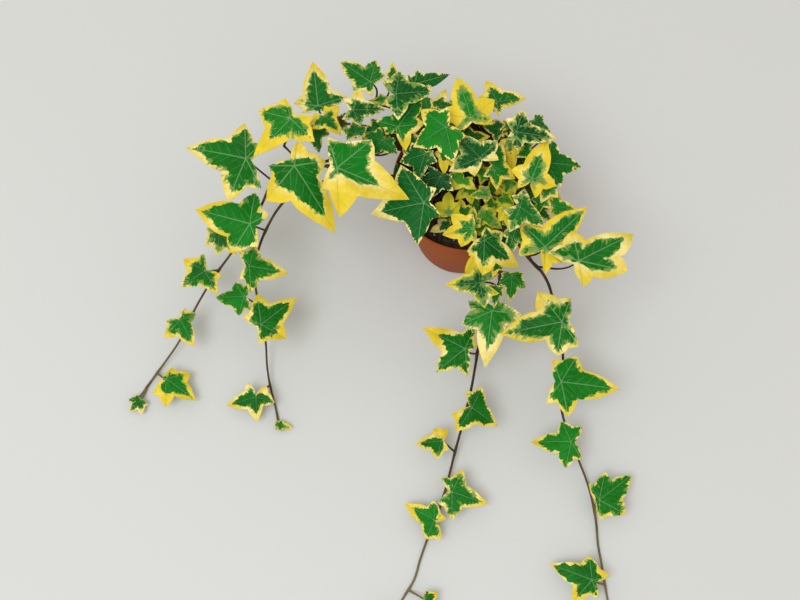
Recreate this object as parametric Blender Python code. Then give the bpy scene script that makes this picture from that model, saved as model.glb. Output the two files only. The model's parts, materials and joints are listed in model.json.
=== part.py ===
"""A variegated trailing ivy in a plain clay-coloured pot, in metres, +Z up, origin under the pot's centre.

The pot is turned, the soil fills it, and fourteen leafy stems stand in holes in the soil. Four of them
arch over the rim and trail along the surface that the pot stands on. Each leafy stem is one solid:
its stem, its leaf stalks and its five-lobed leaf blades are joined by one Boolean union.

The plant is laid out as it is seen from one viewpoint, up in front of it. A place on it is written as
(across, down, height): where it lies in an 800 x 600 view from there, and its height in millimetres.
"""
import math
import random
from collections import namedtuple

import bmesh
import bpy
from mathutils import Matrix, Vector
from mathutils.bvhtree import BVHTree

MM = 0.001

# Driving dimensions of the pot and its soil, in metres
POT_HEIGHT = 0.105
RIM_RADIUS = 0.060
FOOT_RADIUS = 0.039
WALL = 0.0018
EDGE_ROUND = 0.0006
FLOOR_THICK = 0.0025
DRAIN_RADIUS = 0.0035
DRAIN_RING = 0.026
DRAIN_COUNT = 6
POT_SIDES = 36
SOIL_TOP = 0.097
SOIL_GAP = 0.0003
SOIL_CROWN = 0.003

# Driving dimensions of the plant, in metres
STEM_RADIUS = 0.0013
STEM_TIP_RADIUS = 0.0008
STEM_STEP = 0.014
STEM_SIDES = 5
STALK_RADIUS = 0.0008
STALK_TEST_RADIUS = 0.0015
STALK_SIDES = 3
STALK_BENDS = 2
STALK_STARTS = 6
STALK_BOWS = (0, 0.2, -0.2, 0.4, -0.4)
STALK_WISH = (0.012, 0.016)
STALK_LEAVE = 0.30
STALK_DROOP = 0.05
STALK_BEHIND = 0.22
STALK_BELOW = 0.30
ROOT_DEPTH = 0.016
ROOT_RISE = 0.005
HOLE_GAP = 0.0007
BLADE_THICK = 0.0010
BLADE_CLEARANCE = 0.0005
LIFT_STEP = 0.002
MOST_LIFTS = 26
LOWEST_LEAF = 0.0008

# The viewpoint of the layout: its place, how far it looks below the horizon, and its lens
EYE = Vector((-0.054, -0.373, 0.897))
LOOK_DOWN = math.radians(71)
LENS = 1087
VIEW_CENTRE = (400, 300)
LOOK = Vector((0, math.cos(LOOK_DOWN), -math.sin(LOOK_DOWN)))
VIEW_UP = Vector((0, math.sin(LOOK_DOWN), math.cos(LOOK_DOWN)))

Leaf = namedtuple("Leaf", "name foot tip sides height drop roll")
Blade = namedtuple("Blade", "foot frame lobes depths full length sag wave phase")


def leaf(name, foot, tip, sides, height, drop=-8, roll=0):
    """One leaf: where its stalk meets it, its main lobe's tip and its two side lobes' tips, then the
    height of its foot, how far its tip lies above that (mm), and its roll about the main rib (degrees)."""
    return Leaf(name, foot, tip, sides, height * MM, drop * MM, math.radians(roll))


# Each vine: the route of its stem, from the soil outwards, and its leaves
VINES = {
    "trail_left_long": (
        [(434, 172, 97), (418, 158, 122), (400, 149, 127), (380, 147, 131), (345, 156, 139), (305, 168, 133),
         (274, 182, 118), (261, 206, 99), (246, 232, 78), (230, 255, 60), (219, 270, 49), (207, 288, 37),
         (194, 311, 23), (180, 340, 12), (168, 358, 7), (157, 373, 2.4), (147, 387, 1.6), (139, 398, 1.6)],
        [leaf("a1", (246, 159), (188, 149), [(242, 116), (226, 198), (260, 143), (260, 185)], 134, -20),
         leaf("d35", (401, 138), (388, 146), [(389, 134), (403, 151)], 117, -4),
         leaf("a3", (219, 230), (218, 255), [(206, 247), (229, 258)], 72, -10),
         leaf("a4", (205, 271), (181, 287), [(181, 257), (216, 293), (203, 253), (221, 274)], 56, -10),
         leaf("a5", (180, 320), (194, 346), [(164, 337), (196, 313), (165, 321), (185, 308)], 32, -8),
         leaf("a6", (166, 379), (195, 400), [(190, 372), (165, 405), (152, 393), (172, 366)], 15, -6),
         leaf("a7", (140, 400), (129, 412), [(128, 399), (142, 414)], 7, -2)]),
    "trail_left_short": (
        [(443, 193, 97), (425, 180, 122), (390, 176, 136), (345, 178, 143), (308, 186, 138), (289, 197, 127),
         (278, 209, 115), (270, 222, 103), (262, 239, 88), (257, 255, 74), (254, 272, 60), (256, 290, 47),
         (259, 306, 37), (263, 325, 26), (266, 345, 17), (267, 365, 10), (270, 385, 6), (275, 405, 2.4),
         (278, 420, 1.6)],
        [leaf("a2", (250, 224), (196, 210), [(253, 190), (231, 252), (268, 214), (257, 245)], 106, -20),
         leaf("b1", (249, 266), (288, 274), [(255, 245), (251, 292), (239, 250), (240, 278)], 80, -14),
         leaf("b2", (244, 297), (216, 298), [(234, 281), (238, 315), (248, 285), (250, 309)], 52, -9),
         leaf("b3", (261, 325), (297, 298), [(257, 293), (286, 337), (243, 317), (259, 343)], 44, -9),
         leaf("b4", (256, 397), (257, 421), [(225, 405), (274, 402), (250, 381), (266, 385)], 15, -5),
         leaf("b5", (277, 425), (293, 428), [(283, 420), (282, 431)], 5, -1)]),
    "spray_left": (
        [(447, 180, 97), (432, 162, 120), (400, 146, 135), (376, 147, 140), (347, 158, 150), (325, 166, 150),
         (298, 158, 144), (284, 146, 138)],
        [leaf("c9", (294, 166), (335, 232), [(267, 198), (326, 160), (269, 165), (299, 139)], 158, -24),
         leaf("d14", (383, 140), (368, 155), [(362, 134), (397, 152)], 147, -10),
         leaf("c8", (337, 168), (410, 198), [(373, 138), (341, 216), (328, 137), (322, 187)], 168, -24),
         leaf("c1", (291, 119), (255, 158), [(257, 109), (314, 141), (284, 97), (312, 115)], 156, -18)]),
    "spray_left_back": (
        [(441, 163, 97), (425, 143, 120), (395, 130, 133), (362, 126, 138), (335, 122, 135), (316, 120, 128)],
        [leaf("c2", (318, 106), (313, 62), [(347, 94), (294, 103), (339, 110), (302, 112)], 142, -14),
         leaf("c3", (326, 117), (341, 135), [(340, 105), (306, 122)], 150, -9),
         leaf("c6", (353, 110), (386, 109), [(359, 88), (361, 125), (344, 98), (342, 119)], 152, -10),
         leaf("c13", (356, 135), (353, 121), [(341, 128), (367, 126)], 149, -5),
         leaf("c12", (313, 127), (319, 153), [(302, 135), (330, 134)], 128, -8),
         leaf("c7", (338, 118), (331, 132), [(344, 108), (346, 130)], 130, -9)]),
    "spray_back_left": (
        [(456, 160, 97), (440, 135, 120), (415, 117, 132), (392, 108, 136), (374, 103, 133)],
        [leaf("c4", (370, 82), (340, 62), [(376, 58), (353, 90), (386, 76), (372, 95)], 148, -9),
         leaf("c5", (396, 94), (433, 91), [(400, 69), (397, 118)], 158, -9),
         leaf("d1", (398, 127), (421, 97), [(376, 119), (425, 121), (406, 149)], 142, -12),
         leaf("d2", (414, 84), (450, 75), [(417, 75), (430, 97)], 150, -21, 34),
         leaf("c11", (393, 79), (393, 63), [(387, 70), (399, 70)], 148, -4),
         leaf("c10", (384, 101), (368, 101), [(380, 93), (378, 107)], 139, -6),
         leaf("d34", (383, 129), (361, 131), [(371, 117), (368, 143)], 141, -5)]),
    "spray_back": (
        [(472, 166, 97), (466, 143, 118), (459, 125, 130), (452, 112, 134)],
        [leaf("d4", (438, 107), (446, 89), [(454, 103), (430, 99)], 138, -6),
         leaf("d5", (471, 118), (457, 79), [(496, 96), (438, 112)], 152, -6),
         leaf("d6", (446, 127), (414, 147), [(420, 108), (452, 160)], 160, -15),
         leaf("d3", (497, 102), (526, 98), [(487, 77), (495, 114)], 138, -9),
         leaf("d33", (425, 130), (411, 129), [(419, 119), (416, 139)], 126, -4)]),
    "spray_back_right": (
        [(489, 167, 97), (500, 150, 118), (518, 140, 128), (537, 138, 129), (549, 145, 124)],
        [leaf("d15", (516, 132), (557, 139), [(524, 109), (518, 150)], 150, -12),
         leaf("d16", (535, 121), (551, 133), [(544, 115), (527, 126)], 138, -9),
         leaf("d17", (529, 150), (515, 157), [(524, 140), (533, 164)], 141, -8),
         leaf("d20", (546, 163), (581, 167), [(554, 139), (562, 186)], 134, -12)]),
    "spray_right": (
        [(497, 187, 97), (512, 180, 116), (527, 186, 124), (539, 196, 122), (549, 205, 116)],
        [leaf("d19", (532, 178), (547, 140), [(512, 169), (557, 185), (518, 188), (536, 197)], 149, -9),
         leaf("d22", (520, 207), (546, 227), [(523, 186), (511, 231)], 142, -12),
         leaf("d30", (549, 187), (541, 203), [(535, 188), (558, 197)], 127, -6),
         leaf("d31", (537, 206), (551, 222), [(551, 208), (533, 220)], 120, -5),
         leaf("d23", (541, 198), (538, 214), [(531, 199), (551, 209)], 124, -9),
         leaf("d24", (554, 206), (578, 210), [(558, 190), (560, 220)], 126, -9)]),
    "trail_right": (
        [(493, 207, 97), (500, 217, 112), (511, 234, 119), (523, 250, 115), (533, 263, 106), (541, 271, 98),
         (548, 283, 88), (552, 296, 78), (557, 320, 62), (562, 345, 46), (563, 365, 36), (561, 388, 27),
         (562, 412, 19), (569, 435, 13), (579, 461, 8), (587, 482, 5), (592, 500, 2.4), (596, 522, 1.6),
         (598, 545, 1.6), (602, 566, 1.6), (605, 585, 1.6), (608, 602, 1.6), (612, 625, 1.6),
          (613, 642, 1.6)],
        [leaf("f17", (504, 208), (512, 231), [(516, 213), (499, 221)], 124, -6),
         leaf("d25", (545, 247), (587, 208), [(521, 220), (563, 262), (520, 256), (546, 273)], 130, -12),
         leaf("d26", (579, 261), (633, 234), [(572, 230), (629, 270), (549, 252), (584, 286)], 136, -20),
         leaf("g1", (562, 322), (502, 334), [(538, 290), (557, 355), (571, 297), (579, 345)], 82, -16),
         leaf("g2", (561, 382), (618, 390), [(578, 354), (569, 416), (553, 359), (547, 402)], 52, -12),
         leaf("g3", (571, 442), (532, 442), [(562, 420), (566, 467), (583, 426), (582, 459)], 31, -8),
         leaf("g4", (599, 500), (632, 475), [(607, 472), (626, 514), (589, 484), (600, 519)], 18, -5),
         leaf("g5", (592, 580), (550, 564), [(590, 555), (573, 602), (611, 576), (599, 598)], 16, -5),
         leaf("g6", (607, 622), (581, 640), [(590, 612), (606, 648)], 12, -4),
         leaf("g7", (612, 645), (626, 662), [(630, 648), (610, 666)], 9, -3)]),
    "spray_front_left": (
        [(447, 207, 97), (437, 200, 111), (427, 193, 117), (420, 184, 121)],
        [leaf("d8", (424, 203), (371, 214), [(416, 244), (400, 164), (440, 214), (436, 188)], 124, -18),
         leaf("d36", (403, 187), (396, 163), [(390, 173), (410, 171)], 115, -4),
         leaf("d29", (413, 136), (404, 157), [(397, 138), (421, 151)], 133, -8),
         leaf("d9", (441, 176), (428, 200), [(453, 191), (416, 182)], 132, -12),
         leaf("d7", (425, 154), (417, 181), [(398, 162), (437, 162)], 146, -15),
         leaf("d10", (444, 153), (444, 175), [(455, 166), (434, 153)], 143, -12)]),
    "spray_middle": (
        [(481, 181, 97), (486, 168, 116), (490, 158, 126), (491, 150, 131)],
        [leaf("d12", (493, 166), (515, 179), [(503, 140), (498, 189)], 141, -9),
         leaf("d13", (509, 141), (513, 173), [(500, 152), (522, 151)], 134, -12),
         leaf("d11", (480, 158), (456, 134), [(498, 138), (449, 168)], 153, -9),
         leaf("d27", (499, 130), (483, 127), [(495, 117), (497, 142)], 126, -6),
         leaf("d28", (510, 131), (503, 120), [(500, 133), (518, 124)], 124, -4),
         leaf("d18", (470, 137), (490, 137), [(462, 124), (472, 150)], 128, -6)]),
    "trail_front": (
        [(481, 222, 97), (486, 231, 112), (492, 246, 116), (497, 262, 107), (500, 280, 93), (498, 298, 78),
         (490, 322, 60), (479, 346, 44), (476, 362, 35), (472, 385, 26), (467, 408, 18), (461, 430, 12),
         (455, 452, 8), (450, 472, 5), (444, 495, 2.4), (436, 518, 1.6), (427, 540, 1.6), (420, 560, 1.6),
         (414, 580, 1.6), (402, 600, 1.6), (392, 620, 1.6), (388, 642, 1.6)],
        [leaf("e2", (516, 228), (507, 256), [(502, 236), (525, 242)], 117, -21, -12),
         leaf("e1", (484, 240), (520, 267), [(484, 275), (503, 232)], 124, -18),
         leaf("e7", (478, 250), (465, 279), [(470, 255), (480, 268)], 103, -21),
         leaf("e5", (512, 275), (510, 301), [(526, 288), (499, 284)], 98, -12),
         leaf("e4", (480, 283), (446, 285), [(478, 264), (489, 306), (501, 278), (500, 291)], 104, -10),
         leaf("e3", (497, 263), (493, 277), [(488, 268), (503, 270)], 110, -8),
         leaf("e6", (497, 287), (494, 308), [(488, 297), (503, 296)], 94, -8),
         leaf("e8", (492, 311), (485, 367), [(461, 324), (522, 314), (468, 299), (505, 300)], 80, -16),
         leaf("e9", (465, 349), (424, 329), [(436, 370), (475, 326), (477, 345), (468, 375)], 62, -12),
         leaf("e10", (472, 408), (498, 426), [(457, 431), (483, 386), (451, 415), (466, 391)], 34, -8),
         leaf("e11", (441, 441), (415, 444), [(437, 459), (435, 427), (449, 429), (449, 449)], 21, -6),
         leaf("e12", (452, 492), (488, 504), [(463, 469), (452, 520), (441, 477), (438, 503)], 18, -5),
         leaf("e13", (434, 520), (405, 504), [(426, 539), (434, 500), (442, 540), (446, 519)], 14, -5),
         leaf("e14", (425, 600), (441, 612), [(438, 592), (420, 614)], 11, -3),
         leaf("e15", (390, 622), (366, 626), [(375, 608), (380, 640)], 12, -4),
         leaf("e16", (388, 645), (395, 664), [(377, 656), (405, 654)], 9, -3)]),
    "spray_front": (
        [(461, 212, 97), (459, 209, 106), (456, 207, 111)],
        [leaf("f4", (449, 226), (430, 232), [(438, 218), (446, 235)], 108, -5),
         leaf("f1", (449, 214), (449, 191), [(435, 203), (456, 199)], 124, -5),
         leaf("f3", (461, 216), (461, 198), [(450, 206), (470, 203)], 122, -5),
         leaf("f5", (473, 226), (474, 206), [(466, 214), (478, 216)], 115, -5),
         leaf("f2", (472, 229), (443, 235), [(461, 246), (451, 213)], 125, -6)]),
    "spray_middle_front": (
        [(472, 197, 97), (476, 192, 108), (481, 189, 115)],
        [leaf("f13", (477, 229), (499, 225), [(484, 219), (488, 234)], 107, -4),
         leaf("f12", (481, 214), (502, 229), [(497, 210), (481, 226)], 114, -6),
         leaf("f10", (511, 181), (502, 199), [(499, 184), (513, 196)], 117, -6),
         leaf("f14", (484, 174), (470, 169), [(478, 163), (480, 185)], 124, -5),
         leaf("f15", (503, 197), (515, 206), [(512, 192), (501, 211)], 119, -5),
         leaf("f16", (478, 205), (465, 209), [(471, 196), (477, 216)], 113, -4),
         leaf("f6", (463, 179), (451, 190), [(448, 173), (478, 185)], 131, -6),
         leaf("f8", (488, 193), (468, 197), [(479, 185), (486, 203)], 124, -5),
         leaf("f7", (470, 186), (455, 200), [(455, 185), (472, 204)], 117, -5),
         leaf("f9", (490, 187), (505, 192), [(500, 180), (497, 199)], 116, -4),
         leaf("f11", (494, 203), (485, 214), [(483, 200), (501, 214)], 118, -6)]),
}

# A blade's form. Reaches are shares of its main lobe's, and a base lobe's is a share of its side lobe's
SIDE_TURN = math.radians(64)
SIDE_TURNS = (math.radians(38), math.radians(100))
SIDE_REACH = 0.70
BASE_TURN = math.radians(54)
MOST_BASE_TURN = math.radians(152)
BASE_REACH = 0.62
MOST_REACH = 1.35
LEAST_SIDE_REACH = 0.32
LEAST_BASE_REACH = 0.20
NOTCH_REACH = 0.09
HUB_SHARE = 0.16
SINUS_DEPTH = (0.64, 0.80)
BASE_SINUS_DEPTH = (0.74, 0.95)
SINUS_SHARE = 0.35
SINUS_SHIFT = 0.30
MOST_SINUS = 0.92
SHOULDER_PLACE = 0.40
SHOULDER_FULL = (0.06, 0.19)
NECK_PLACE = 0.36
NECK_FULL = 0.3
SMALL_LEAF = 0.027
SWAY = math.radians(9)
SAG = (0.10, 0.24)
WAVE = (0.025, 0.06)
SAG_POWER = 1.3

# The leaves set by rule: low round the back and the flanks of the crown, and under its middle. Each
# band's values are ranges, in metres and degrees: bearing 0 is to the right and 90 is to the back
Band = namedtuple("Band", "count bearings outs heights lengths pitches turns")
FILL_BANDS = [
    Band(15, (-15, 195), (0.056, 0.088), (0.088, 0.124), (0.022, 0.031), (-65, -25), (-35, 35)),
    Band(20, (0, 360), (0.004, 0.054), (0.104, 0.130), (0.015, 0.026), (-30, 5), (-180, 180)),
]
FILL_ROLLS = (-18, 18)
FILL_TRIES = 300
FILL_SEED = 11
# These two don't count as leaves when a filling leaf has to stay within the others' outline
VESSEL = ("pot", "soil")


def clear_scene():
    """Start from an empty scene."""
    for obj in list(bpy.data.objects):
        bpy.data.objects.remove(obj)


def material(name, colour, roughness):
    """A plain material in a part's colour."""
    made = bpy.data.materials.new(name)
    made.use_nodes = True
    shader = made.node_tree.nodes["Principled BSDF"]
    shader.inputs["Base Color"].default_value = (*colour, 1)
    shader.inputs["Roughness"].default_value = roughness
    shader.inputs["Metallic"].default_value = 0
    return made


def new_object(name, mesh, finish=None, collection=None):
    """An object of this mesh in the scene, or in a collection."""
    obj = bpy.data.objects.new(name, mesh)
    if finish:
        mesh.materials.clear()
        mesh.materials.append(finish)
    (collection or bpy.context.scene.collection).objects.link(obj)
    return obj


def sight_line(across, down):
    """The direction from the viewpoint through this place in the view."""
    right = (across - VIEW_CENTRE[0]) / LENS
    up = (VIEW_CENTRE[1] - down) / LENS
    return LOOK + Vector((right, 0, 0)) + VIEW_UP * up


def seen_at(across, down, height):
    """The point at this height that is seen at this place in the view."""
    line = sight_line(across, down)
    return EYE + line * ((height - EYE.z) / line.z)


def seen_on_plane(place, point, normal):
    """The point of a plane that is seen at this place in the view."""
    line = sight_line(*place)
    return EYE + line * ((point - EYE).dot(normal) / line.dot(normal))


def smooth_route(points, step):
    """Points about a step apart on a smooth curve through these points."""
    ends = [2 * points[0] - points[1], *points, 2 * points[-1] - points[-2]]
    route = []
    for before, start, end, after in zip(ends, ends[1:], ends[2:], ends[3:]):
        count = max(1, round((end - start).length / step))
        for i in range(count):
            t = i / count
            route.append(0.5 * (2 * start + (end - before) * t
                                + (2 * before - 5 * start + 4 * end - after) * t ** 2
                                + (3 * start - 3 * end + after - before) * t ** 3))
    return route + [points[-1]]


def tube(points, start_radius, end_radius, sides):
    """A tube along points, as places and faces. Its ring is carried along without a twist."""
    places = []
    faces = [tuple(range(sides))]
    side = (points[1] - points[0]).orthogonal().normalized()
    for i, point in enumerate(points):
        along = (points[min(i + 1, len(points) - 1)] - points[max(i - 1, 0)]).normalized()
        side = (side - along * side.dot(along)).normalized()
        other = along.cross(side)
        radius = start_radius + (end_radius - start_radius) * i / (len(points) - 1)
        for k in range(sides):
            turn = math.tau * k / sides
            places.append(point + (side * math.cos(turn) + other * math.sin(turn)) * radius)
            if i:
                low, following = (i - 1) * sides + k, (i - 1) * sides + (k + 1) % sides
                faces.append((low, following, following + sides, low + sides))
    faces.append(tuple(range(len(places) - sides, len(places))))
    return places, faces


def solid_mesh(name, places, faces):
    """A closed mesh of these places and faces, facing out."""
    mesh = bpy.data.meshes.new(name)
    mesh.from_pydata(places, [], faces)
    work = bmesh.new()
    work.from_mesh(mesh)
    bmesh.ops.triangulate(work, faces=work.faces)
    bmesh.ops.recalc_face_normals(work, faces=work.faces)
    work.to_mesh(mesh)
    work.free()
    return mesh


def turned(angle, reach):
    """A point of the blade's plane: along the main rib, then to its left."""
    return Vector((math.cos(angle) * reach, math.sin(angle) * reach))


def blade_frame(foot, tip, roll):
    """The blade's axes as columns: along the main rib, to the left, and out of its upper face."""
    along = (tip - foot).normalized()
    out = (Vector((0, 0, 1)) - along * along.z).normalized()
    out.rotate(Matrix.Rotation(roll, 3, along))
    return Matrix((along, out.cross(along), out)).transposed()


def lobes_of(foot, frame, length, places):
    """Each lobe's turn from the main rib and its reach, from the right base lobe round to the left one."""
    found = {-1: [], 1: []}
    for place in places:
        flat = frame.transposed() @ (seen_on_plane(place, foot, frame.col[2]) - foot)
        turn = math.atan2(flat.y, flat.x)
        found[1 if turn > 0 else -1].append((abs(turn), min(flat.xy.length, MOST_REACH * length)))
    lobes = {}
    for side, seen in found.items():
        seen.sort()
        turn, reach = seen[0] if seen else (SIDE_TURN, SIDE_REACH * length)
        turn = min(max(turn, SIDE_TURNS[0]), SIDE_TURNS[1])
        base_turn, base_reach = seen[1] if len(seen) > 1 else (turn + BASE_TURN, reach * BASE_REACH)
        lobes[side] = (turn * side, max(reach, LEAST_SIDE_REACH * length))
        lobes[2 * side] = (min(base_turn, MOST_BASE_TURN) * side, max(base_reach, LEAST_BASE_REACH * length))
    return [lobes[-2], lobes[-1], (0, length), lobes[1], lobes[2]]


def blade_of(name, foot, tip, roll, places):
    """The blade of a leaf, with its own seeded sag and wave."""
    draw = random.Random(name)
    sag = draw.uniform(*SAG)
    wave = draw.uniform(*WAVE)
    phase = draw.uniform(0, math.tau)
    length = (tip - foot).length
    roll += draw.uniform(-SWAY, SWAY)
    level = blade_frame(foot, tip, roll)
    frame = blade_frame(foot, tip + level.col[2] * sag * length, roll)
    ranges = (BASE_SINUS_DEPTH, SINUS_DEPTH, SINUS_DEPTH, BASE_SINUS_DEPTH)
    depths = [draw.uniform(*depth) for depth in ranges]
    full = draw.uniform(*SHOULDER_FULL)
    return Blade(foot, frame, lobes_of(foot, frame, length, places), depths, full, length, sag, wave, phase)


def sinus_between(lobe, following, depth):
    """The bottom of the bay between two lobes: where their tips' chord is cut, drawn inwards."""
    (turn, reach), (next_turn, next_reach) = lobe, following
    gap = next_turn - turn
    share = SINUS_SHARE + SINUS_SHIFT * reach / (reach + next_reach)
    chord = (reach * next_reach * math.sin(gap)
             / (reach * math.sin(gap * share) + next_reach * math.sin(gap * (1 - share))))
    return turn + gap * share, min(chord * depth, MOST_SINUS * min(reach, next_reach))


def bays_of(blade):
    """The bays before, between and after the lobes. The first and the last are the stalk's notch."""
    notch = NOTCH_REACH * blade.length
    between = [sinus_between(*pair) for pair in zip(blade.lobes, blade.lobes[1:], blade.depths)]
    return [(-math.pi, notch)] + between + [(math.pi, notch)]


def flank(bay, tip, full, steps):
    """Points from a bay up to a lobe's tip: a full shoulder to its left, then a drawn-out tip."""
    span = tip - bay
    across = Vector((-span.y, span.x)) * full
    shoulder = bay + span * SHOULDER_PLACE + across
    neck = tip - span * NECK_PLACE + across * NECK_FULL
    points = []
    for i in range(steps + 1):
        t = i / steps
        points.append(bay * (1 - t) ** 3 + shoulder * 3 * t * (1 - t) ** 2
                      + neck * 3 * t ** 2 * (1 - t) + tip * t ** 3)
    return points


def outline(blade, steps, base_steps):
    """The blade's edge in its own plane, anticlockwise from the stalk's notch."""
    bays = [turned(*bay) for bay in bays_of(blade)]
    edge = []
    for i, lobe in enumerate(blade.lobes):
        count = steps if i in (1, 2, 3) else base_steps
        edge += flank(bays[i], turned(*lobe), -blade.full, count)[:-1]
        edge += flank(bays[i + 1], turned(*lobe), blade.full, count)[:0:-1]
    return edge


def edge_steps(blade):
    """How many pieces each side of a lobe is made in: a small leaf has plain ones."""
    return 1 if blade.length < SMALL_LEAF else 2


def blade_point(blade, flat):
    """The point in space of a point of the blade's plane, with the blade's sag and wave."""
    reach = flat.length / blade.length
    turn = math.atan2(flat.y, flat.x)
    rise = -blade.sag * reach ** SAG_POWER + blade.wave * reach * math.sin(4 * turn + blade.phase)
    return blade.foot + blade.frame @ Vector((flat.x, flat.y, rise * blade.length))


def blade_solid(blade, thick):
    """A blade as places and faces: a fan of triangles from its hub, the same fan below it, and its edge."""
    half = blade.frame.col[2] * (thick / 2)
    edge = [blade_point(blade, flat) for flat in outline(blade, edge_steps(blade), 1)]
    hub = blade_point(blade, Vector((HUB_SHARE * blade.length, 0)))
    count = len(edge)
    places = [p + half for p in edge] + [p - half for p in edge] + [hub + half, hub - half]
    faces = []
    for i in range(count):
        j = (i + 1) % count
        faces += [(i, j, 2 * count), (j + count, i + count, 2 * count + 1), (i, i + count, j + count, j)]
    return places, faces


def stalk_points(blade, start, bow):
    """A stalk's route: from the stem up into the blade's foot, which it meets from below and behind."""
    along, left, out = blade.frame.col
    reach = (blade.foot - start).length
    aside = left * bow * reach
    leave = start.lerp(blade.foot, STALK_LEAVE) - Vector((0, 0, STALK_DROOP * reach)) + aside
    arrive = blade.foot - (along * STALK_BEHIND + out * STALK_BELOW) * reach + aside / 2
    points = []
    for i in range(STALK_BENDS + 1):
        t = i / STALK_BENDS
        points.append(start * (1 - t) ** 3 + leave * 3 * t * (1 - t) ** 2
                      + arrive * 3 * t ** 2 * (1 - t) + blade.foot * t ** 3)
    for point in points:
        point.z = max(point.z, STALK_RADIUS + LOWEST_LEAF)
    return points


def stalk_starts(blade, stem):
    """The places on a stem that a blade's stalk may leave from, best first: they lie below and behind it."""
    along, _, out = blade.frame.col
    behind = blade.foot - along * STALK_WISH[0] - out * STALK_WISH[1]
    places = stem[2:] + [(a + b) / 2 for a, b in zip(stem[1:], stem[2:])]
    return sorted(places, key=lambda point: (point - behind).length)[:STALK_STARTS]


def box_of(places):
    """The lowest and highest corner round places."""
    return [min(p[i] for p in places) for i in range(3)], [max(p[i] for p in places) for i in range(3)]


def is_clear(probe, placed, ignored):
    """True if a probe crosses nothing that is placed, apart from one vine's stem and stalks."""
    low, high = box_of(probe[0])
    tree = BVHTree.FromPolygons(*probe)
    for vine, other, other_low, other_high in placed:
        if vine == ignored or any(low[i] > other_high[i] or high[i] < other_low[i] for i in range(3)):
            continue
        if tree.overlap(other):
            return False
    return True


def remember(placed, vine, probe):
    """Add a probe to what is placed, with its vine's name if that vine's own stalks may cross it."""
    placed.append((vine, BVHTree.FromPolygons(*probe), *box_of(probe[0])))


def settle(make_blade, stem_name, stem, placed, most_lifts):
    """The blade and its stalk, lifted step by step towards the eye until both cross nothing."""
    for lift in range(most_lifts):
        blade = make_blade(lift * LIFT_STEP)
        wide = blade_solid(blade, BLADE_THICK + 2 * BLADE_CLEARANCE)
        if min(place.z for place in wide[0]) < LOWEST_LEAF or not is_clear(wide, placed, ""):
            continue
        for start in stalk_starts(blade, stem):
            for bow in STALK_BOWS:
                points = stalk_points(blade, start, bow)
                stalk = tube(points, STALK_TEST_RADIUS, STALK_TEST_RADIUS, STALK_SIDES)
                if is_clear(stalk, placed, stem_name):
                    remember(placed, None, blade_solid(blade, BLADE_THICK))
                    remember(placed, stem_name, stalk)
                    return blade, points
    return None


def stem_points(route):
    """A vine's stem: straight up out of its hole in the soil, then along its route."""
    points = [seen_at(across, down, height * MM) for across, down, height in route]
    root = points[0]
    buried = Vector((root.x, root.y, SOIL_TOP - ROOT_DEPTH))
    risen = Vector((root.x, root.y, SOIL_TOP + SOIL_CROWN + ROOT_RISE))
    return [buried] + smooth_route([risen] + points[1:], STEM_STEP)


def listed_blade(row, lift):
    """The blade of a listed leaf, lifted along its own sight line."""
    height = row.height + lift
    foot = seen_at(*row.foot, height)
    tip = seen_at(*row.tip, height + row.drop)
    return blade_of(row.name, foot, tip, row.roll, row.sides)


def filling_blade(draw, band, name):
    """A blade drawn at random from a band's ranges."""
    bearing = math.radians(draw.uniform(*band.bearings))
    out = draw.uniform(*band.outs)
    foot = Vector((math.cos(bearing) * out, math.sin(bearing) * out, draw.uniform(*band.heights)))
    heading = bearing + math.radians(draw.uniform(*band.turns))
    pitch = math.radians(draw.uniform(*band.pitches))
    level = Vector((math.cos(heading), math.sin(heading), 0))
    along = level * math.cos(pitch) + Vector((0, 0, math.sin(pitch)))
    length = draw.uniform(*band.lengths)
    roll = math.radians(draw.uniform(*FILL_ROLLS))
    return blade_of(name, foot, foot + along * length, roll, [])


def keeps_outline(points, placed):
    """True if every point is before or behind a placed leaf or stem, seen from the viewpoint."""
    for point in points:
        line = (point - EYE).normalized()
        if not any(tree.ray_cast(EYE, line)[0] for vine, tree, _, _ in placed if vine not in VESSEL):
            return False
    return True


def filling_leaves(stems, placed):
    """The leaves set by rule, each on the nearest vine: (vine, blade, stalk)."""
    draw = random.Random(FILL_SEED)
    found = []
    for band in FILL_BANDS:
        wanted = len(found) + band.count
        for _ in range(band.count * FILL_TRIES):
            if len(found) == wanted:
                break
            blade = filling_blade(draw, band, f"fill_{len(found)}")
            if not keeps_outline([blade_point(blade, flat) for flat in outline(blade, 1, 1)], placed):
                continue
            vine = min(stems, key=lambda name: min((p - blade.foot).length for p in stems[name]))
            settled = settle(lambda lift, still=blade: still, vine, stems[vine], placed, 1)
            if not settled:
                continue
            stalk = settled[1]
            halves = [(a + b) / 2 for a, b in zip(stalk, stalk[1:])]
            if keeps_outline(halves, placed[:-2]):
                found.append((vine, *settled))
            else:
                del placed[-2:]
    return found


def pot_profile():
    """The pot's wall in section: down its outside from the rim, then up its inside."""
    return [(RIM_RADIUS - EDGE_ROUND, POT_HEIGHT), (RIM_RADIUS, POT_HEIGHT - EDGE_ROUND),
            (FOOT_RADIUS + EDGE_ROUND, 2 * EDGE_ROUND), (FOOT_RADIUS, 0), (0, 0), (0, FLOOR_THICK),
            (FOOT_RADIUS - WALL, FLOOR_THICK), (RIM_RADIUS - WALL, POT_HEIGHT)]


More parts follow.
